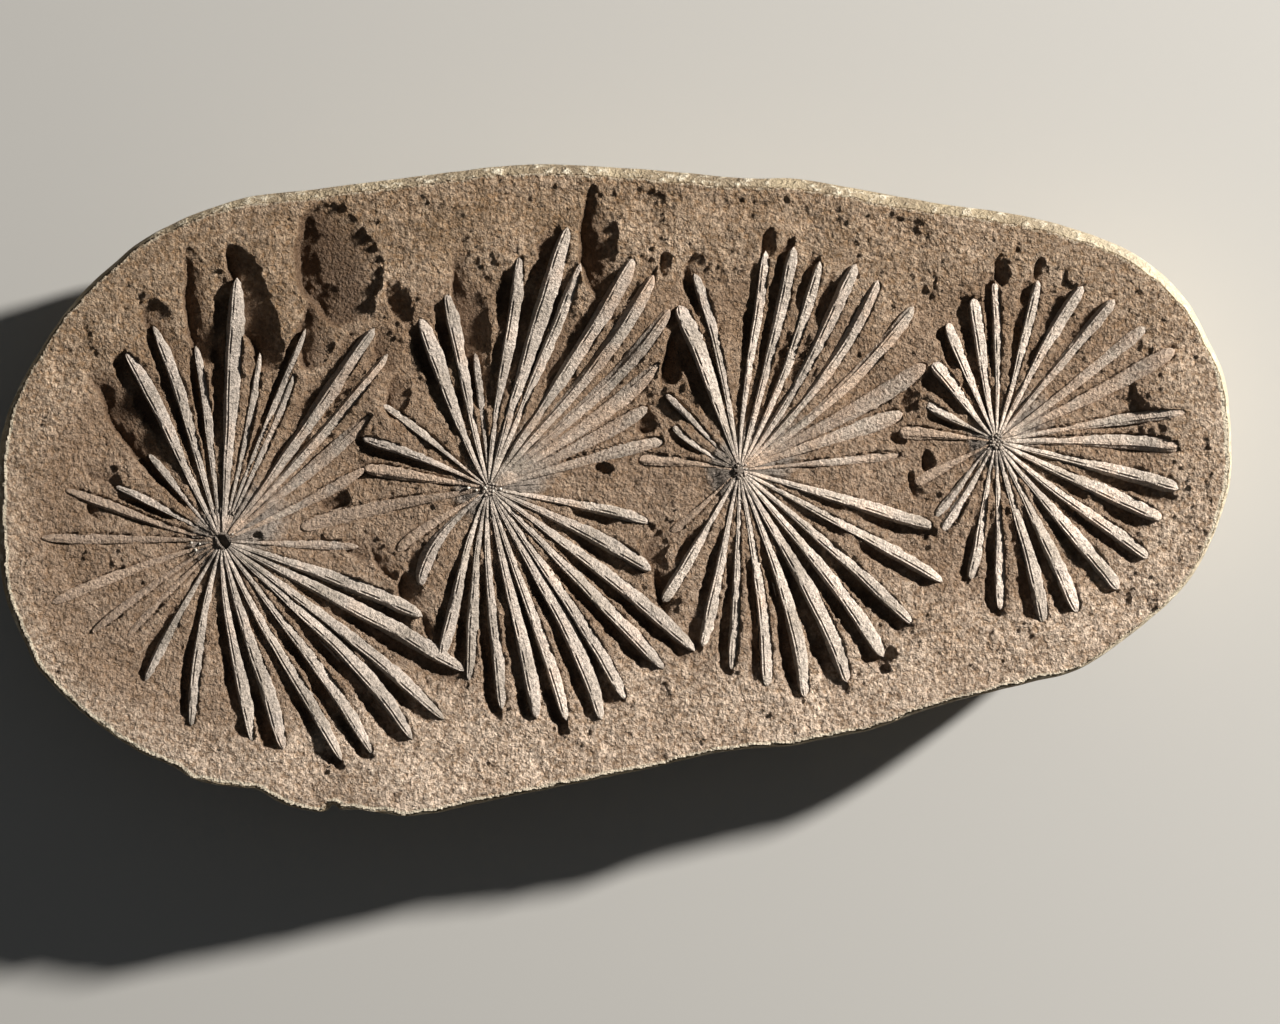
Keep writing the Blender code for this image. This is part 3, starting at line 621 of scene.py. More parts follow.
def beds_and_hollows(x, y):
    """How deep hollows press each place, how deep it is kept under a leaf, and how far it is
    banked up against a leaf's lit edge."""
    hollows, beds, banks = np.zeros_like(x), np.zeros_like(x), np.zeros_like(x)
    wander = (0.12 * waves(x, y, 0.55 * MM, 2.0) + 0.14 * waves(x, y, 1.2 * MM, 3.0)
              + 0.24 * waves(x, y, 3.4 * MM, 4.0))
    for leaf in (leaf for rows in leaves.values() for leaf in rows):
        share, sideways = leaf.where(x, y)
        near = (share > leaf.first) & (share < 1.15) & (np.abs(sideways) < 2.5 * leaf.width)
        share, sideways = share[near], sideways[near]
        half = leaf.half_width(share)
        run = share / leaf.hollow_end
        patchy = 0.85 + 1.3 * waves_along(share * leaf.length, 5.0 * MM, leaf.hollow_seed)
        depth = leaf.hollow * np.clip(patchy, 0.15, 1.0)
        depth = depth * np.interp(run, HOLLOW_SHARES, HOLLOW_DEPTHS)
        wide = leaf.width * leaf.hollow_reach * (0.45 + 0.65 * np.clip(run, 0.0, 1.0))
        reach = (sideways - half) / wide
        reach += wander[near] * (reach > 0.25)
        beyond = (sideways > half) & (share > 0) & (run < HOLLOW_SHARES[-1])
        pressed = np.where(beyond, depth * np.interp(reach, HOLLOW_ACROSS, HOLLOW_PROFILE), 0.0)
        beside = np.exp(-((np.abs(sideways) - half - 0.04 * MM) / EDGE_GROOVE_WIDTH) ** 2)
        groove = EDGE_GROOVE * (1.0 if leaf.standing < 0.75 else 0.45)
        pressed = np.maximum(pressed, groove * beside * ((share > 0.02) & (share < 1.0)))
        hollows[near] = np.maximum(hollows[near], pressed)
        away = np.maximum(-sideways - half, 0.0)
        bank = BANK_HEIGHT * leaf.standing * np.exp(-away / BANK_WIDTH) * (sideways < 0)
        bank = bank * eased(0.1, 0.3, share) * eased(1.03, 0.9, share)
        banks[near] = np.maximum(banks[near], bank)
        margin = np.maximum(np.minimum(0.25 * MM, 0.5 * half), 1e-9)
        cover = eased(0.0, 1.0, (half - np.abs(sideways)) / margin) * (share < 0.99)
        steep = eased(-0.1, 1.0, sideways / np.maximum(half * max(leaf.crest, 0.1), 1e-9))
        beds[near] = np.maximum(beds[near], cover * (UNDER_LEAF + steep * depth))
    return hollows, beds, banks * (hollows < 0.2 * MM)


deepest = max(leaf.hollow for rows in leaves.values() for leaf in rows)
print("deepest hollow beside a leaf in mm:", round(deepest / MM, 2))

# %% [markdown]
# What a whorl does to the face round it. Near the middle the leaves lie so close that the face
# itself is covered with their film, most of all towards the upper right, where they are packed.
# We also keep, for every place, the direction out from the nearest middle: the fine ribs in the
# film follow it, like the spokes of a wheel.

# %% The marks of the whorls on the face
HEART_PX = 32
PACKED_TURN = math.radians(38.0)


def whorl_marks(x, y):
    """For each place: how much film it has, whether it is in a whorl or in the heart of one, how
    far out the nearest middle is, and the direction out from there."""
    film, in_whorl, heart = np.zeros_like(x), np.zeros_like(x), np.zeros_like(x)
    nearest = np.full_like(x, 9.0)
    ray = np.zeros((len(x), 3), dtype=np.float32)
    for middle_px, _, reach_px in WHORLS_PX.values():
        middle = on_plate(*middle_px)
        away_x, away_y = x - middle.x, y - middle.y
        radius = np.hypot(away_x, away_y)
        share = radius / (reach_px * PX)
        packed = np.clip(np.cos(np.arctan2(away_y, away_x) - PACKED_TURN), 0.0, 1.0) ** 3
        film = np.maximum(film, 1.0 - eased(0.08, 0.22 + 0.32 * packed, share))
        in_whorl = np.maximum(in_whorl, 1.0 - eased(0.85, 1.1, share))
        heart = np.maximum(heart, 1.0 - eased(0.7, 1.0, radius / (HEART_PX * PX)))
        closer = share < nearest
        nearest = np.where(closer, share, nearest)
        safe = np.maximum(radius, 1e-6)
        rays = np.column_stack((away_x / safe, away_y / safe, share))
        ray[closer] = rays[closer]
    return film, in_whorl, heart, nearest, ray


middle_of_first = on_plate(*WHORLS_PX["first"][0])
marks = whorl_marks(np.array([middle_of_first.x]), np.array([middle_of_first.y]))
print("film at the first whorl's middle:", marks[0][0])

# %% [markdown]
# The grain of the stone. Split silt is rough at every size at once, from clumps of a few
# millimetres down to single grains, and some parts of a face are rougher than others. We add up
# one kind of noise for each size. Round lumps look like grains, where plain waves look like dunes.

# %% The grain of the stone


def grain_height(x, y):
    """How far clumps, clods, crumbs and sand stand up at each place."""
    clumps = waves(x, y, 3.0 * MM, 12.0)
    clods = lumps(x, y, 2.6 * MM, 17.0) * eased(-0.15, 0.35, waves(x, y, 9.0 * MM, 18.0))
    crumbs = lumps(x, y, 1.25 * MM, 13.0)
    sand = lumps(x, y, 0.72 * MM, 11.0)
    gravel = waves(x, y, 1.0 * MM, 15.0)
    rougher = 1.0 + 0.4 * waves(x, y, 7.0 * MM, 14.0) + 0.25 * eased(0.060, 0.073, x)
    grain = 0.23 * clumps + 0.10 * clods + 0.24 * crumbs + 0.18 * sand + 0.08 * gravel
    return grain * rougher * MM


tried = grain_height(np.linspace(-0.05, 0.05, 999), np.zeros(999))
print("grain from", round(tried.min() / MM, 2), "to", round(tried.max() / MM, 2), "mm")

# %% [markdown]
# The relief of the face. Sculpting it by hand would mean hours of small strokes. Here each vertex
# is lifted or pressed by the same causes as in the real stone: the ground, broad swells, clumps
# of grains and single grains, the hollows and the breaks. The numbers a material needs later,
# such as how deep a place lies or how near the rim, are stored on the vertices as attributes.

# %% The relief of the split face
SWELL_HEIGHT = 0.60 * MM
HIGHEST_FACE = PLATE_HIGH.z - 0.02 * MM


def paint(piece, name, values):
    """Store one number for each vertex, which a material can read by its name."""
    layer = piece.data.attributes.new(name, "FLOAT", "POINT")
    layer.data.foreach_set("value", np.asarray(values, dtype=np.float32))


def lift_sheet(piece):
    """Lift and press every vertex of a sheet, and paint what its material reads."""
    places = vertex_places(piece)
    x, y = places[:, 0], places[:, 1]
    hollows, beds, banks = beds_and_hollows(x, y)
    wander_x = x + MM * (0.7 * waves(x, y, 3.0 * MM, 7.0) + 0.15 * waves(x, y, 0.8 * MM, 8.0))
    wander_y = y + MM * (0.7 * waves(x, y, 3.0 * MM, 9.0) + 0.15 * waves(x, y, 0.8 * MM, 10.0))
    pits = pit_depth(wander_x, wander_y)
    swells = waves(x, y, 6.5 * MM, 16.0) + 0.3 * waves(x, y, 14.0 * MM, 19.0)
    open_stone = 1.0 - eased(0.5, 1.0, beds / UNDER_LEAF)
    grain = grain_height(x, y)
    in_pit = eased(0.02 * MM, 0.30 * MM, pits)
    grain *= 1.0 - 0.88 * in_pit
    grain *= 1.0 - 0.75 * np.clip(beds / UNDER_LEAF, 0.0, 1.0)
    film, in_whorl, heart, nearest, ray = whorl_marks(x, y)
    knot = 1.0 - eased(0.02, 0.05, nearest)
    fan = 1.0 - 2.0 * np.abs(waves(10.0 * ray[:, 0], 10.0 * ray[:, 1], 1.0, 30.0))
    grain = grain * (1.0 - 0.75 * heart * (1.0 - knot)) + 0.10 * MM * heart * (1.0 - knot) * fan
    number, to_rim = near_rim(x, y)
    at_rim = 1.0 - eased(0.12 * MM, 0.60 * MM, to_rim)
    height = ground(x, y) + grain + banks - np.maximum(np.maximum(hollows, pits), beds)
    height += (SWELL_HEIGHT * (swells - 0.3) * eased(0.3 * MM, 3.0 * MM, to_rim) * open_stone
               * (1.0 - in_pit))
    height += 0.14 * MM * knot
    height += at_rim * lip[number] - 0.08 * MM * (1.0 - eased(0.0, 0.3 * MM, to_rim))
    height = np.minimum(height, HIGHEST_FACE)
    put_vertices(piece, np.column_stack((x, y, height)))
    # How deep a place lies: the material darkens it with rust and painted shade.
    paint(piece, "recess", np.clip(np.maximum(hollows, pits) / MM, 0.0, 1.0))
    paint(piece, "film", 0.85 * film)
    at_edge = 1.0 - eased(0.2 * MM, 0.7 * MM, to_rim)
    # Near the rim: pale lime, paler where the lip is high, which is painted light on the lit lip.
    paint(piece, "rim", at_edge * (0.5 + lip[number] / (0.25 * MM)))
    paint(piece, "in_whorl", in_whorl)
    outward = piece.data.attributes.new("ray", "FLOAT_VECTOR", "POINT")
    outward.data.foreach_set("vector", ray.ravel())


print("the face is kept below, in mm:", round(HIGHEST_FACE / MM, 2))

# %% [markdown]
# A sheet alone would be a skin with no inside. We extrude its border down and in to a level line
# and fill that, so that each sheet is a closed solid whose underside stays within the body.

# %% Lift the sheets and close them below
WALL_STEP = 0.6 * MM
BOTTOM_HEIGHT = 10.0 * MM


def choose_border(piece):
    """Go into edit mode and select the open border of a sheet."""
    only(piece)
    bpy.ops.object.mode_set(mode="EDIT")
    bpy.ops.mesh.select_mode(type="EDGE")
    bpy.ops.mesh.select_all(action="DESELECT")
    bpy.ops.mesh.select_non_manifold(extend=False, use_wire=False, use_boundary=True,
                                     use_multi_face=False, use_non_contiguous=False,
                                     use_verts=False)


def close_below(piece):
    """Extrude the border down and in to a level line and fill it."""
    x = vertex_places(piece)[:, 0]
    middle_x = 0.5 * (x.min() + x.max())
    choose_border(piece)
    bpy.ops.mesh.extrude_region_move(TRANSFORM_OT_translate={"value": (0, 0, -WALL_STEP)})
    bpy.ops.mesh.extrude_region_move(TRANSFORM_OT_translate={"value": (0, 0, -WALL_STEP)})
    bpy.ops.transform.resize(value=(0.86, 0.90, 0), center_override=(middle_x, 0, BOTTOM_HEIGHT))
    bpy.ops.mesh.edge_face_add()
    face_outwards(piece)


for piece in sheets:
    lift_sheet(piece)
    close_below(piece)
    print(piece.name, triangles(piece), "triangles")

# %% [markdown]
# One leaf, modelled once. Across, it has nineteen lines of vertices: a soft rise from the lit
# edge, the midrib as two fine ridges with a groove between them, and a steep fall to the dark
# side. The model leaf is a flat strip with a skirt that goes down into the stone, so that it is
# closed. By hand one would add a grid, extrude its border down and fill it below.

# %% The model leaf
RISE = (0.0, 0.05, 0.12, 0.24, 0.33, 0.40, 0.52, 0.62, 0.69, 0.80, 0.92, 1.0)
RISE_HEIGHTS = (-0.45, 0.05, 0.22, 0.38, 0.50, 0.52, 0.64, 0.75, 0.75, 0.84, 0.87, 1.0)
GROOVE_HEIGHT = 0.74
RIDGE_HEIGHT = 0.96
FALL = (0.18, 0.45, 0.75, 0.92, 1.0)
FALL_HEIGHTS = (0.66, 0.50, 0.30, 0.04, -0.30)
LINES = len(RISE) + 2 + len(FALL)
RIDGE_GAP = 0.17 * MM
ROWS_ALONG = 80
SKIRT = 1.4 * MM

bpy.ops.object.select_all(action="DESELECT")
bpy.ops.mesh.primitive_grid_add(x_subdivisions=LINES - 1,
                                y_subdivisions=ROWS_ALONG, size=2.0)
model_leaf = bpy.context.object
model_leaf.name = "model_leaf"
choose_border(model_leaf)
bpy.ops.mesh.extrude_region_move(TRANSFORM_OT_translate={"value": (0, 0, -1.0)})
bpy.ops.mesh.edge_face_add()
face_outwards(model_leaf)
model_places = vertex_places(model_leaf)
line_number = np.rint((model_places[:, 0] + 1.0) / 2.0 * (LINES - 1)).astype(int)
share_along = (model_places[:, 1] + 1.0) / 2.0
is_skirt = model_places[:, 2] < -0.5
print("model leaf:", len(model_places), "vertices")

# %% [markdown]
# No two leaves are alike, so the model leaf's lines are placed anew for each of them: the ridge
# wanders from side to side, the groove is half filled in places, and the height changes along the
# leaf. Two functions work this out for all vertices of one leaf at once.

# %% The form of one leaf, across and up


def across_leaf(leaf, along, half, number):
    """How far across each vertex lies, from -1 at the lit edge to 1 at the dark one."""
    gap = np.minimum(RIDGE_GAP / np.maximum(half, 1e-6), 0.26)
    crest = leaf.crest + 0.20 * waves_along(along, 6.0 * MM, number + 0.7)
    crest = np.clip(crest, 0.0, 0.62)
    lines = np.empty((len(along), LINES))
    for column, part in enumerate(RISE):
        lines[:, column] = -1.0 + (1.0 + crest - gap) * part
    lines[:, len(RISE)] = crest
    lines[:, len(RISE) + 1] = crest + gap
    for column, part in enumerate(FALL):
        lines[:, len(RISE) + 2 + column] = crest + gap + (1.0 - crest - gap) * part
    return lines[np.arange(len(along)), line_number]


def leaf_height(leaf, x, y, share, along, number):
    """The height of each vertex: the ground, the leaf on it and the fall into its hollow."""
    tall = leaf.height * np.interp(share, BLADE_SHARES, BLADE_HEIGHTS)
    profile = np.array((*RISE_HEIGHTS, GROOVE_HEIGHT, RIDGE_HEIGHT, *FALL_HEIGHTS))
    rise = profile[line_number]
    filled = 0.55 * np.clip(waves_along(along, 2.4 * MM, number + 0.9) + 0.15, 0.0, 0.7)
    rise = rise + np.where(line_number == len(RISE), filled, 0.0)
    hollow = leaf.hollow * np.interp(share, HOLLOW_SHARES, HOLLOW_DEPTHS)
    falls = np.clip((line_number - (LINES - 1 - len(FALL))) / len(FALL), 0.0, 1.0)
    height = ground(x, y) + tall * rise - falls ** 2.5 * hollow * 0.9
    worn = (0.035 * waves(x, y, 1.8 * MM, 21.0) + 0.045 * waves(x, y, 0.55 * MM, 22.0)
            + 0.06 * np.minimum(0.0, waves(x, y, 1.1 * MM, 23.0) + 0.1))
    height += worn * MM * (rise > 0.1)
    height = np.minimum(height, HIGHEST_FACE)
    height = np.where(share_along > 0.999, ground(x, y) - 0.1 * MM, height)
    return height - SKIRT * is_skirt


print("a leaf has", LINES, "lines across and", ROWS_ALONG + 1, "rows along")

# %% [markdown]
# Every traced leaf gets a copy of the model leaf with its own mesh, laid along its own middle
# line. Its edges are ragged, as they are where stone grains stuck to it or pulled bits of it away.
# Its UV map is laid out in millimetres, so that the ribs of the material follow the leaf.
# At a leaf's tip a whole row of vertices meets in one point, so these doubles are merged. A leaf
# whose dark side is on its right is laid as a mirror image, which turns its faces inside out, so
# all faces are then made to point outwards again.

# %% Lay a copy along every traced leaf
RAGGED_EDGE = 0.16 * MM
UV_SPACING = 7.0
SAME_PLACE = 0.001 * MM


def lay_leaf(leaf, number):
    """A copy of the model leaf, shaped to one traced leaf."""
    only(model_leaf)
    bpy.ops.object.duplicate()
    piece = bpy.context.object
    share = leaf.first + (1.0 - leaf.first) * (1.0 - (1.0 - share_along) ** 1.2)
    along = share * (leaf.length - leaf.start)
    half = leaf.half_width(share)
    half *= 1.0 + 0.13 * waves_along(along, 5.0 * MM, number)
    half *= 1.0 + 0.07 * waves_along(along, 1.1 * MM, number + 0.5)
    sideways = across_leaf(leaf, along, half, number) * half
    crumbling = waves_along(along, 0.7 * MM, number + 0.3) + 0.1
    sideways += np.where(line_number < 2, RAGGED_EDGE * crumbling, 0.0) * (half > 0.4 * MM)
    x, y = leaf.spot(share, sideways)
    height = leaf_height(leaf, x, y, share, along, number)
    put_vertices(piece, np.column_stack((x, y, height)))
    corners = np.empty(len(piece.data.loops), dtype=np.int32)
    piece.data.loops.foreach_get("vertex_index", corners)
    flat = np.column_stack((sideways / MM + UV_SPACING * number, along / MM))
    piece.data.uv_layers[0].uv.foreach_set("vector", flat[corners].ravel())
    own = random.Random(number).random()
    # Painted light: the leaves are painted paler towards the right, nearer the lamp.
    painted_light_right = 1.2 * eased(-0.05, 0.05, x) - 0.6
    wandering = 0.9 * waves_along(along, 7.0 * MM, number + 0.2)
    paint(piece, "tone_and_painted_light", own + painted_light_right + wandering)
    paint(piece, "worn", np.full(len(x), leaf.worn))
    return piece


def joined(pieces, name):
    """Join pieces to one, under a name."""
    only(pieces[0])
    for piece in pieces:
        piece.select_set(True)
    bpy.ops.object.join()
    bpy.context.object.name = name
    return bpy.context.object


def merge_doubles(piece):
    """Merge the vertices that lie at the very same place."""
    only(piece)
    bpy.ops.object.mode_set(mode="EDIT")
    bpy.ops.mesh.select_mode(type="VERT")
    bpy.ops.mesh.select_all(action="SELECT")
    bpy.ops.mesh.remove_doubles(threshold=SAME_PLACE)
    bpy.ops.object.mode_set(mode="OBJECT")


whorl_pieces = []
for order, (name, rows) in enumerate(leaves.items()):
    laid = [lay_leaf(leaf, 40 * order + number) for number, leaf in enumerate(rows)]
    whorl = joined(laid, f"leaves_of_{name}_whorl")
    merge_doubles(whorl)
    face_outwards(whorl)
    whorl_pieces.append(whorl)
    print(whorl.name, triangles(whorl), "triangles")
bpy.data.objects.remove(model_leaf, do_unlink=True)

# %% [markdown]
# The middle of a whorl, where the stem went through, isn't smooth: small grains are packed there.
# Beside the middles of the first two whorls some are white crumbs of calcite, which water left.
# One grain is a low icosphere, squashed and knocked about a little, and each of the others is a
# copy of it with its own turn and size.

# %% Grains in the middles of the whorls
CALCITE_PX = ((468, 488, 4.0), (476, 490, 3.2), (485, 488, 4.4), (493, 491, 3.4), (500, 489, 3.8),
              (191, 543, 3.6), (195, 550, 4.2), (199, 544, 2.8), (232, 534, 2.4), (506, 492, 2.6))
KNOT_GRAINS = 18
KNOT_PX = 8.0

bpy.ops.object.select_all(action="DESELECT")
bpy.ops.mesh.primitive_ico_sphere_add(subdivisions=2, radius=1.0, location=(0, 0, 0))
model_grain = bpy.context.object
dented = vertex_places(model_grain)
dented *= 1.0 + 0.35 * waves(dented[:, 0], dented[:, 1], 0.8, 2.0)[:, None]
put_vertices(model_grain, dented * (1.0, 0.8, 0.7))


def strew(name, grains_px):
    """Copies of the model grain at places on the face, joined to one piece."""
    made = []
    for number, (x_px, y_px, size_px) in enumerate(grains_px):
        only(model_grain)
        bpy.ops.object.duplicate()
        places = vertex_places(bpy.context.object) * (0.5 * size_px * PX)
        spot, turn = on_plate(x_px, y_px), 2.4 * number
        x = spot.x + places[:, 0] * math.cos(turn) - places[:, 1] * math.sin(turn)
        y = spot.y + places[:, 0] * math.sin(turn) + places[:, 1] * math.cos(turn)
        base_z = ground(np.array([spot.x]), np.array([spot.y]))[0] + 0.10 * MM
        put_vertices(bpy.context.object, np.column_stack((x, y, base_z + places[:, 2])))
        made.append(bpy.context.object)
    print(name, len(made), "grains")
    return joined(made, name)


knot_px = []
for whorl_name in ("second", "third", "fourth"):
    middle_x, middle_y = WHORLS_PX[whorl_name][0]
    for step in range(KNOT_GRAINS):
        out_px, turn = KNOT_PX * math.sqrt((step + 0.5) / KNOT_GRAINS), 2.4 * step + middle_x
        knot_px.append((middle_x + out_px * math.cos(turn), middle_y + out_px * math.sin(turn),
                        2.6 + 0.4 * ((7 * step) % 5)))
calcite = strew("calcite_crumbs", CALCITE_PX)
knots = strew("grains_in_whorl_middles", knot_px)
bpy.data.objects.remove(model_grain, do_unlink=True)

# %% [markdown]
# Materials. Every colour is written as the hex value one would pick on screen, and one function
# turns it into the linear numbers that a shader needs.

# %% Helpers for materials
def colour(hex_value):
    parts = [int(hex_value[start:start + 2], 16) / 255.0 for start in (0, 2, 4)]
    linear = [part / 12.92 if part <= 0.04045 else ((part + 0.055) / 1.055) ** 2.4
              for part in parts]
    return (*linear, 1.0)


def add_node(tree, kind, settings=None, links=None):
    """Add a node, set its properties and sockets, and link sockets to other nodes' outputs."""
    made = tree.nodes.new(kind)
    for name, value in (settings or {}).items():
        if isinstance(name, str) and hasattr(made, name):
            setattr(made, name, value)
        else:
            made.inputs[name].default_value = value
    for name, source in (links or {}).items():
        tree.links.new(source, made.inputs[name])
    return made


def new_material(name):
    """A material with a Principled shader. Blender's softening of bump in low light stays off,
    because the sharp little shadows of the grain are what makes this stone look like stone."""
    material = bpy.data.materials.new(name)
    material.use_nodes = True
    material.cycles.use_bump_map_correction = False
    tree = material.node_tree
    return material, tree, tree.nodes["Principled BSDF"]


print("the floor's colour in linear numbers:", [round(part, 3) for part in colour("b9b7b2")])

# %% [markdown]
# Granular siltstone, the matrix. To the eye it is matt and sandy, brown in the whorls, and each
# grain has its own tone. Its colour runs from browner and darker at the top to paler and pinker
# towards the bottom and a little towards the right: painted shade where the dished face turns
# from the low light, painted light where it turns to it. The creases are darkened with ochre
# stain and painted shade. Real silt is far finer than this: its grains are drawn four tenths of
# a millimetre wide here, because finer ones wouldn't show.
# First the stone's colour, from broad patches to single grains, with the painted shade and light.

# %% Granular siltstone: the stone's colour, with painted shade and light
siltstone, tree, shader = new_material("granular_siltstone")
where = add_node(tree, "ShaderNodeTexCoord").outputs["Object"]
patches = add_node(tree, "ShaderNodeTexNoise", {"Scale": 1.0 / (7.0 * MM), "Detail": 5.0,
                                                "Roughness": 0.65}, {"Vector": where})
grains = add_node(tree, "ShaderNodeTexVoronoi", {"Scale": 1.0 / (0.42 * MM)}, {"Vector": where})
crumb = add_node(tree, "ShaderNodeTexNoise", {"Scale": 1.0 / (0.75 * MM), "Detail": 4.0,
                                              "Roughness": 0.75}, {"Vector": where})
# Two ramps of the same patches: the darker one is painted shade, used towards the top, the paler
# one is painted light, used towards the bottom.
shaded_patches = add_node(tree, "ShaderNodeValToRGB", {}, {"Fac": patches.outputs["Fac"]})
shaded_patches.color_ramp.elements[0].position, shaded_patches.color_ramp.elements[0].color = 0.34, colour("8a735a")
shaded_patches.color_ramp.elements[1].position, shaded_patches.color_ramp.elements[1].color = 0.66, colour("b49c83")
lit_patches = add_node(tree, "ShaderNodeValToRGB", {}, {"Fac": patches.outputs["Fac"]})
lit_patches.color_ramp.elements[0].position, lit_patches.color_ramp.elements[0].color = 0.34, colour("b8a18b")
lit_patches.color_ramp.elements[1].position, lit_patches.color_ramp.elements[1].color = 0.66, colour("dec8b2")
# Painted shade at the top and painted light towards the bottom and right: the two ramps blended by
# place.
across = add_node(tree, "ShaderNodeSeparateXYZ", {}, {"Vector": where})
slant = add_node(tree, "ShaderNodeMath", {"operation": "MULTIPLY_ADD", 1: -0.12},
                 {0: across.outputs["X"], 2: across.outputs["Y"]})
painted_light_drift = add_node(tree, "ShaderNodeMapRange", {"From Min": 0.034, "From Max": -0.028},
                 {"Value": slant.outputs["Value"]})
base = add_node(tree, "ShaderNodeMix", {"data_type": "RGBA"},
                {0: painted_light_drift.outputs["Result"], 6: shaded_patches.outputs["Color"], 7: lit_patches.outputs["Color"]})
grain_tone = add_node(tree, "ShaderNodeSeparateColor", {}, {"Color": grains.outputs["Color"]})
speckle = add_node(tree, "ShaderNodeMapRange", {"To Min": 0.68, "To Max": 1.30},
                   {"Value": grain_tone.outputs["Red"]})
# Creases, the low places of the crumb bump, are darkened: partly ochre stain, partly painted shade.
crease_stain_and_shade = add_node(tree, "ShaderNodeMapRange", {"From Min": 0.56, "From Max": 0.40,
                                               "To Max": 0.70},
                  {"Value": crumb.outputs["Fac"]})
stained_and_shaded = add_node(tree, "ShaderNodeMix", {"data_type": "RGBA", 7: colour("74542f")},
                   {0: crease_stain_and_shade.outputs["Result"], 6: base.outputs[2]})
speckled = add_node(tree, "ShaderNodeVectorMath", {"operation": "SCALE"},
                    {0: stained_and_shaded.outputs[2], "Scale": speckle.outputs["Result"]})
print(siltstone.name, len(tree.nodes), "nodes for its own colour")

# %% [markdown]
# Next what lies over the stone. The face's vertices carry numbers that we painted on them, and the
# material reads each by its name: the whorls are a little darker, the hollows rusty and darker
# still with painted shade, the hearts of the whorls greyed by leaf film, and the rim pale with
# lime and paler still with painted light where its lip stands highest.

# %% Granular siltstone: stains and painted shade, film, pale rim and painted light
in_whorl = add_node(tree, "ShaderNodeAttribute", {"attribute_name": "in_whorl"})
damp = add_node(tree, "ShaderNodeMath", {"operation": "MULTIPLY", 1: 0.55},
                {0: in_whorl.outputs["Fac"]})
ochre = add_node(tree, "ShaderNodeMix", {"data_type": "RGBA", 7: colour("7a6048")},
                 {0: damp.outputs["Value"], 6: speckled.outputs["Vector"]})
# Hollows and breaks are darkened: partly rusty stain, partly painted shade.
recess = add_node(tree, "ShaderNodeAttribute", {"attribute_name": "recess"})
deep = add_node(tree, "ShaderNodeMath", {"operation": "MULTIPLY", 1: 0.8},
                {0: recess.outputs["Fac"]})
rust_and_painted_shade = add_node(tree, "ShaderNodeMix", {"data_type": "RGBA", 7: colour("57402c")},
                 {0: deep.outputs["Value"], 6: ochre.outputs[2]})
film_mask = add_node(tree, "ShaderNodeAttribute", {"attribute_name": "film"})
film_edge = add_node(tree, "ShaderNodeMath", {"operation": "MULTIPLY_ADD", 1: 0.6},
                     {0: crumb.outputs["Fac"], 2: film_mask.outputs["Fac"]})
film_share = add_node(tree, "ShaderNodeMapRange", {"From Min": 0.45, "From Max": 0.85,
                                                   "To Max": 0.85},
                      {"Value": film_edge.outputs["Value"]})
greyed = add_node(tree, "ShaderNodeMix", {"data_type": "RGBA", 7: colour("988d82")},
                  {0: film_share.outputs["Result"], 6: rust_and_painted_shade.outputs[2]})
# The rim is pale with lime, and paler still where its lip stands highest: painted light on the lip.
near_rim = add_node(tree, "ShaderNodeAttribute", {"attribute_name": "rim"})
rim_edge = add_node(tree, "ShaderNodeMath", {"operation": "MULTIPLY_ADD", 1: 1.2},
                    {0: crumb.outputs["Fac"], 2: near_rim.outputs["Fac"]})
rim_share = add_node(tree, "ShaderNodeMapRange", {"From Min": 0.9, "From Max": 1.5,
                                                  "To Max": 0.85},
                     {"Value": rim_edge.outputs["Value"]})
lime_and_lip_light = add_node(tree, "ShaderNodeMix", {"data_type": "RGBA", 7: colour("dccfb6")},
                 {0: rim_share.outputs["Result"], 6: greyed.outputs[2]})
tree.links.new(lime_and_lip_light.outputs[2], shader.inputs["Base Color"])
print(siltstone.name, len(tree.nodes), "nodes for all colour")

# %% [markdown]
# Last its surface. Two sizes of grain in the bump catch the low light, and the film has fine ribs
# that run outwards from the middle of each whorl.

# %% Granular siltstone: gloss and bump
rough = add_node(tree, "ShaderNodeMapRange", {"To Min": 0.72, "To Max": 0.98},
                 {"Value": crumb.outputs["Fac"]})
tree.links.new(rough.outputs["Result"], shader.inputs["Roughness"])
grain_bump = add_node(tree, "ShaderNodeBump", {"Strength": 1.0, "Distance": 0.32 * MM,
                                               "invert": True},
                      {"Height": grains.outputs["Distance"]})
crumb_bump = add_node(tree, "ShaderNodeBump", {"Strength": 1.0, "Distance": 1.05 * MM},
                      {"Height": crumb.outputs["Fac"], "Normal": grain_bump.outputs["Normal"]})
ray = add_node(tree, "ShaderNodeAttribute", {"attribute_name": "ray"})
fan = add_node(tree, "ShaderNodeMapping", {"Scale": (13.0, 13.0, 2.5)},
               {"Vector": ray.outputs["Vector"]})
ribs = add_node(tree, "ShaderNodeTexNoise", {"Scale": 1.0, "Detail": 2.0, "Roughness": 0.6},
                {"Vector": fan.outputs["Vector"]})
rib_height = add_node(tree, "ShaderNodeMath", {"operation": "MULTIPLY"},
                      {0: ribs.outputs["Fac"], 1: film_mask.outputs["Fac"]})
rib_bump = add_node(tree, "ShaderNodeBump", {"Strength": 1.0, "Distance": 1.1 * MM},
                    {"Height": rib_height.outputs["Value"], "Normal": crumb_bump.outputs["Normal"]})
tree.links.new(rib_bump.outputs["Normal"], shader.inputs["Normal"])
print(siltstone.name, len(tree.nodes), "nodes")

# %% [markdown]
# Carbonised leaf film, what is left of each leaf. To the eye it is a greyer, smoother skin on the
# stone, with fine ribs along the leaf and a slight sheen. It reads the leaf's own UV map, in
# millimetres along and across, so the ribs follow each leaf; where the film is worn away the
# brown of the silt shows through. Each leaf has its own tone, painted paler towards the right,
# nearer the lamp, as painted light, and its grains are mottled, partly in their own tones and
# partly with painted glints.

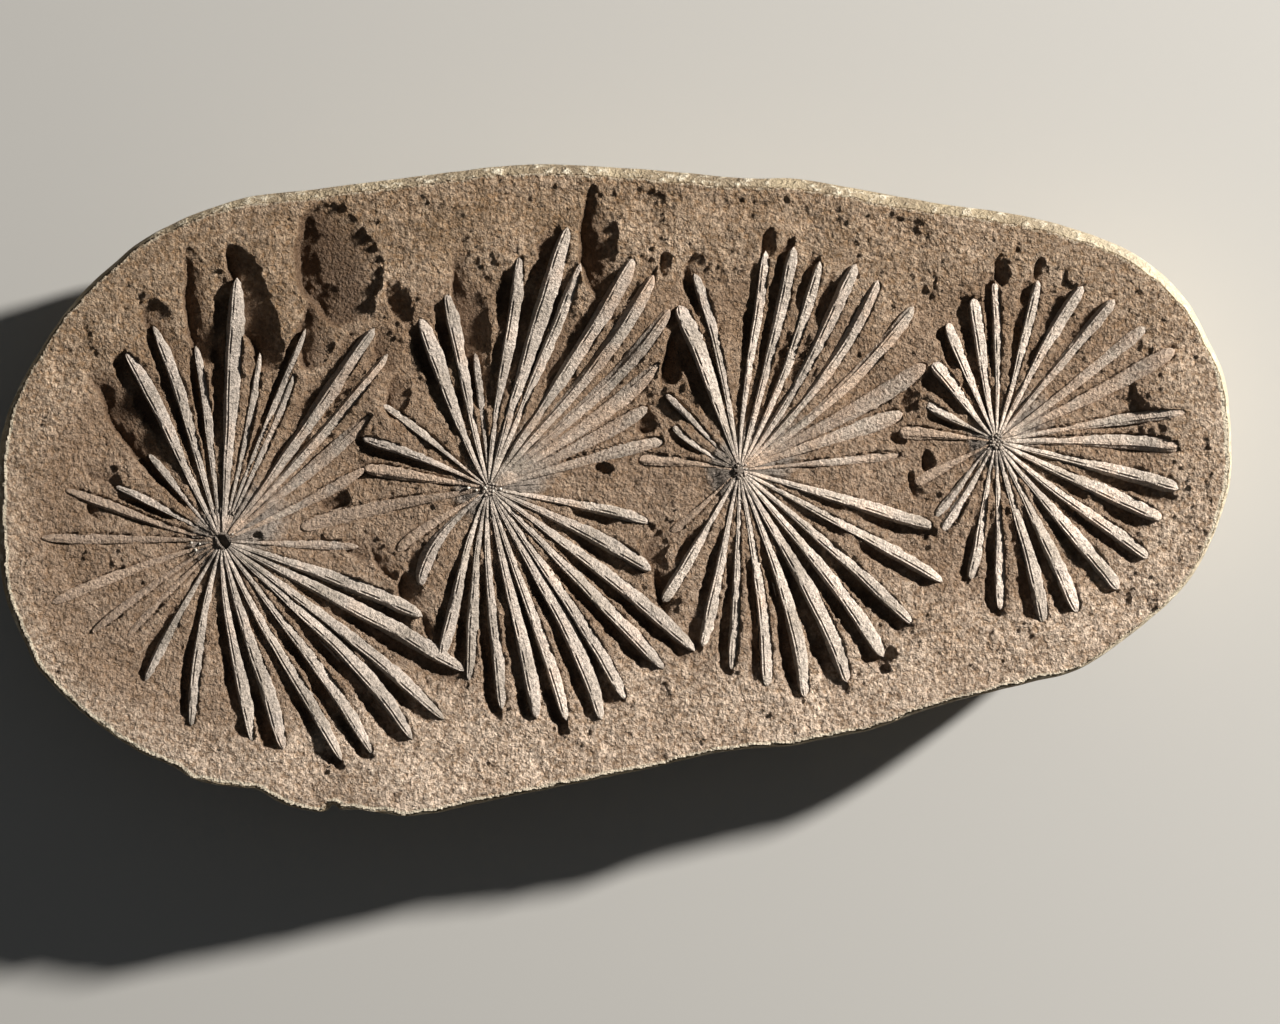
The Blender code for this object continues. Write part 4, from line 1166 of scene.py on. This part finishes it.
# %% Carbonised leaf film: colour
leaf_film, tree, shader = new_material("carbonised_leaf_film")
along = add_node(tree, "ShaderNodeUVMap")
where = add_node(tree, "ShaderNodeTexCoord").outputs["Object"]
stretched = add_node(tree, "ShaderNodeMapping", {"Scale": (3.0, 0.55, 1.0)},
                     {"Vector": along.outputs["UV"]})
ribs = add_node(tree, "ShaderNodeTexNoise", {"Scale": 1.0, "Detail": 3.0},
                {"Vector": stretched.outputs[0]})
dust = add_node(tree, "ShaderNodeTexNoise", {"Scale": 1.0 / (0.42 * MM), "Detail": 3.0,
                                             "Roughness": 0.75}, {"Vector": where})
patches = add_node(tree, "ShaderNodeTexNoise", {"Scale": 1.0 / (5.0 * MM), "Detail": 3.0},
                   {"Vector": where})
base = add_node(tree, "ShaderNodeValToRGB", {}, {"Fac": patches.outputs["Fac"]})
base.color_ramp.elements[0].position, base.color_ramp.elements[0].color = 0.30, colour("938779")
base.color_ramp.elements[1].position, base.color_ramp.elements[1].color = 0.70, colour("c2b4a7")
# Each leaf's tone: its own at random, and paler towards the right as painted light.
tone_and_painted_light = add_node(tree, "ShaderNodeAttribute", {"attribute_name": "tone_and_painted_light"})
# The film's grains are mottled by the dust noise that also makes its bump: partly their own tones,
# partly painted glints on the raised grains.
mottle_and_glints = add_node(tree, "ShaderNodeMapRange", {"From Min": 0.35, "From Max": 0.65, "To Min": 0.62,
                                               "To Max": 1.50}, {"Value": dust.outputs["Fac"]})
tone_scale = add_node(tree, "ShaderNodeMapRange", {"To Min": 0.82, "To Max": 1.22},
                      {"Value": tone_and_painted_light.outputs["Fac"]})
both = add_node(tree, "ShaderNodeMath", {"operation": "MULTIPLY"},
                {0: mottle_and_glints.outputs["Result"], 1: tone_scale.outputs["Result"]})
worn = add_node(tree, "ShaderNodeAttribute", {"attribute_name": "worn"})
stuck = add_node(tree, "ShaderNodeMath", {"operation": "MULTIPLY_ADD", 1: 0.45},
                 {0: worn.outputs["Fac"], 2: patches.outputs["Fac"]})
stone_share = add_node(tree, "ShaderNodeMapRange", {"From Min": 0.56, "From Max": 0.80,
                                                    "To Max": 0.75},
                       {"Value": stuck.outputs["Value"]})
silty = add_node(tree, "ShaderNodeMix", {"data_type": "RGBA", 7: colour("9a8068")},
                 {0: stone_share.outputs["Result"], 6: base.outputs["Color"]})
toned = add_node(tree, "ShaderNodeVectorMath", {"operation": "SCALE"},
                 {0: silty.outputs[2], "Scale": both.outputs["Value"]})
tree.links.new(toned.outputs["Vector"], shader.inputs["Base Color"])
print(leaf_film.name, len(tree.nodes), "nodes for colour")

# %% [markdown]
# The film's surface: smoother than the stone and unevenly so, with its ribs and a dusting of
# grains in the bump.

# %% Carbonised leaf film: gloss and bump
rough = add_node(tree, "ShaderNodeMapRange", {"To Min": 0.42, "To Max": 0.75},
                 {"Value": dust.outputs["Fac"]})
tree.links.new(rough.outputs["Result"], shader.inputs["Roughness"])
rib_bump = add_node(tree, "ShaderNodeBump", {"Strength": 1.0, "Distance": 0.06 * MM},
                    {"Height": ribs.outputs["Fac"]})
dust_bump = add_node(tree, "ShaderNodeBump", {"Strength": 1.0, "Distance": 0.40 * MM},
                     {"Height": dust.outputs["Fac"], "Normal": rib_bump.outputs["Normal"]})
tree.links.new(dust_bump.outputs["Normal"], shader.inputs["Normal"])
print(leaf_film.name, len(tree.nodes), "nodes")

# %% [markdown]
# Weathered rind, the outside of the nodule. To the eye it is dull and chalky: olive-grey stone
# with pale crusts of lime, which give the light line round the split face. At the right end, which
# faces the light, the rind is painted paler, almost cream: painted light.

# %% Weathered rind
rind, tree, shader = new_material("weathered_rind")
where = add_node(tree, "ShaderNodeTexCoord").outputs["Object"]
patches = add_node(tree, "ShaderNodeTexNoise", {"Scale": 1.0 / (6.0 * MM), "Detail": 5.0,
                                                "Roughness": 0.62}, {"Vector": where})
chalk = add_node(tree, "ShaderNodeTexNoise", {"Scale": 1.0 / (1.4 * MM), "Detail": 4.0,
                                              "Roughness": 0.7}, {"Vector": where})
flour = add_node(tree, "ShaderNodeTexNoise", {"Scale": 1.0 / (0.35 * MM), "Detail": 3.0},
                 {"Vector": where})
base = add_node(tree, "ShaderNodeValToRGB", {}, {"Fac": patches.outputs["Fac"]})
base.color_ramp.elements[0].position, base.color_ramp.elements[0].color = 0.30, colour("6f5f4a")
base.color_ramp.elements[1].position, base.color_ramp.elements[1].color = 0.72, colour("a6967a")
white = add_node(tree, "ShaderNodeMapRange", {"From Min": 0.52, "From Max": 0.66},
                 {"Value": chalk.outputs["Fac"]})
chalky = add_node(tree, "ShaderNodeMix", {"data_type": "RGBA", 7: colour("cdc2ac")},
                  {0: white.outputs["Result"], 6: base.outputs["Color"]})
across = add_node(tree, "ShaderNodeSeparateXYZ", {}, {"Vector": where})
# Painted light: the right end, which faces the lamp, is blended towards cream.
lit_end_share = add_node(tree, "ShaderNodeMapRange", {"From Min": 0.048, "From Max": 0.066,
                                               "To Max": 0.5}, {"Value": across.outputs["X"]})
lit_end_cream = add_node(tree, "ShaderNodeMix", {"data_type": "RGBA", 7: colour("dccfb4")},
                 {0: lit_end_share.outputs["Result"], 6: chalky.outputs[2]})
tree.links.new(lit_end_cream.outputs[2], shader.inputs["Base Color"])
rough = add_node(tree, "ShaderNodeMapRange", {"To Min": 0.65, "To Max": 0.95},
                 {"Value": flour.outputs["Fac"]})
tree.links.new(rough.outputs["Result"], shader.inputs["Roughness"])
chalk_bump = add_node(tree, "ShaderNodeBump", {"Strength": 1.0, "Distance": 0.9 * MM},
                      {"Height": chalk.outputs["Fac"]})
flour_bump = add_node(tree, "ShaderNodeBump", {"Strength": 0.6, "Distance": 0.12 * MM},
                      {"Height": flour.outputs["Fac"], "Normal": chalk_bump.outputs["Normal"]})
tree.links.new(flour_bump.outputs["Normal"], shader.inputs["Normal"])
print(rind.name, len(tree.nodes), "nodes")

# %% [markdown]
# Calcite, the white crumbs. To the eye they are milky and a little glossy, so they sparkle.

# %% Calcite
spar, tree, shader = new_material("calcite_spar")
where = add_node(tree, "ShaderNodeTexCoord").outputs["Object"]
cloud = add_node(tree, "ShaderNodeTexNoise", {"Scale": 1.0 / (0.3 * MM), "Detail": 3.0},
                 {"Vector": where})
milky = add_node(tree, "ShaderNodeValToRGB", {}, {"Fac": cloud.outputs["Fac"]})
milky.color_ramp.elements[0].position, milky.color_ramp.elements[0].color = 0.35, colour("9f9485")
milky.color_ramp.elements[1].position, milky.color_ramp.elements[1].color = 0.60, colour("e6dfd2")
tree.links.new(milky.outputs["Color"], shader.inputs["Base Color"])
shader.inputs["Roughness"].default_value = 0.35
chip = add_node(tree, "ShaderNodeBump", {"Strength": 0.6, "Distance": 0.08 * MM},
                {"Height": cloud.outputs["Fac"]})
tree.links.new(chip.outputs["Normal"], shader.inputs["Normal"])
print(spar.name, len(tree.nodes), "nodes")

# %% [markdown]
# Each piece gets its material: rind for the body, siltstone for the split face, leaf film for the
# leaves and the grains in the whorls' middles, and calcite for the crumbs. All are shaded smooth,
# but for edges that are sharper than sixty degrees.

# %% Materials onto the pieces
SHARP_FROM = math.radians(60.0)

for pieces, material in (((body,), rind), (sheets, siltstone), ((*whorl_pieces, knots), leaf_film),
                         ((calcite,), spar)):
    for piece in pieces:
        piece.data.materials.clear()
        piece.data.materials.append(material)
        only(piece)
        bpy.ops.object.shade_smooth_by_angle(angle=SHARP_FROM)
    print(material.name, "on", len(pieces), "pieces")

# %% [markdown]
# The plate is one stone that doesn't move, so every piece rides on the root body. The body of the
# nodule stands in for the measured model, and all pieces are finished as the same stone.

# %% What each piece rides on and stands for
for piece in (body, *sheets, *whorl_pieces, calcite, knots):
    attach(piece, "root")
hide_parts("fossil_plate")
print("pieces:", 3 + len(sheets) + len(whorl_pieces))

# %% [markdown]
# The studio. A plain pale floor that the stone lies on, and a faint even glow from all round, so
# that the shadows are deep but never quite black.

# %% Floor and air
FLOOR_SIZE = 3.0
GLOW = 0.065

bpy.ops.mesh.primitive_plane_add(size=FLOOR_SIZE, location=(0, 0, 0))
floor = bpy.context.object
floor.name = "floor"
paper, tree, shader = new_material("pale_paper_floor")
shader.inputs["Base Color"].default_value = colour("b9b7b2")
shader.inputs["Roughness"].default_value = 0.9
floor.data.materials.append(paper)

scene = bpy.context.scene
scene.view_settings.view_transform = "Standard"
world = bpy.data.worlds.new("studio_air")
world.use_nodes = True
world.node_tree.nodes["Background"].inputs["Color"].default_value = (0.9, 0.95, 1.0, 1.0)
world.node_tree.nodes["Background"].inputs["Strength"].default_value = GLOW
scene.world = world
print("floor in mm:", [round(value / MM) for value in floor.dimensions])

# %% [markdown]
# One small soft light, low on the right, throws the long shadows that show the relief. How high
# it stands was read from the shadows in the photograph: 23 degrees above the face. Its width
# makes their edges a little soft.

# %% The light
LIGHT_RISE = math.radians(23.0)
LIGHT_AWAY = 1.0
LIGHT_WIDTH = 0.067
LIGHT_WATTS = 26.7

toward = Vector((math.cos(LIGHT_TURN) * math.cos(LIGHT_RISE),
                 math.sin(LIGHT_TURN) * math.cos(LIGHT_RISE), math.sin(LIGHT_RISE)))
bpy.ops.object.light_add(type="AREA", location=toward * LIGHT_AWAY)
key = bpy.context.object
key.data.shape = "DISK"
key.data.size = LIGHT_WIDTH
key.data.energy = LIGHT_WATTS
key.data.color = (1.0, 0.97, 0.93)
key.rotation_euler = toward.to_track_quat("Z", "Y").to_euler()
print("light at mm:", [round(value / MM) for value in key.location])

# %% [markdown]
# The camera hangs straight overhead and frames the stone as the photograph does. Its lens is
# worked out from the width that the frame must show.

# %% The camera
CAMERA_HEIGHT = 1.0
SENSOR_WIDTH_MM = 36.0
FRAME_WIDTH_PX = 1280
FRAME_HEIGHT_PX = 1024

aim = on_plate(FRAME_WIDTH_PX / 2, FRAME_HEIGHT_PX / 2)
bpy.ops.object.camera_add(location=(aim.x, aim.y, CAMERA_HEIGHT + PLATE_THICKNESS))
camera = bpy.context.object
camera.data.sensor_width = SENSOR_WIDTH_MM
camera.data.lens = SENSOR_WIDTH_MM * CAMERA_HEIGHT / (FRAME_WIDTH_PX * PX)
camera.data.clip_start = 0.01
scene.camera = camera

print("camera at mm:", [round(value / MM, 1) for value in camera.location])
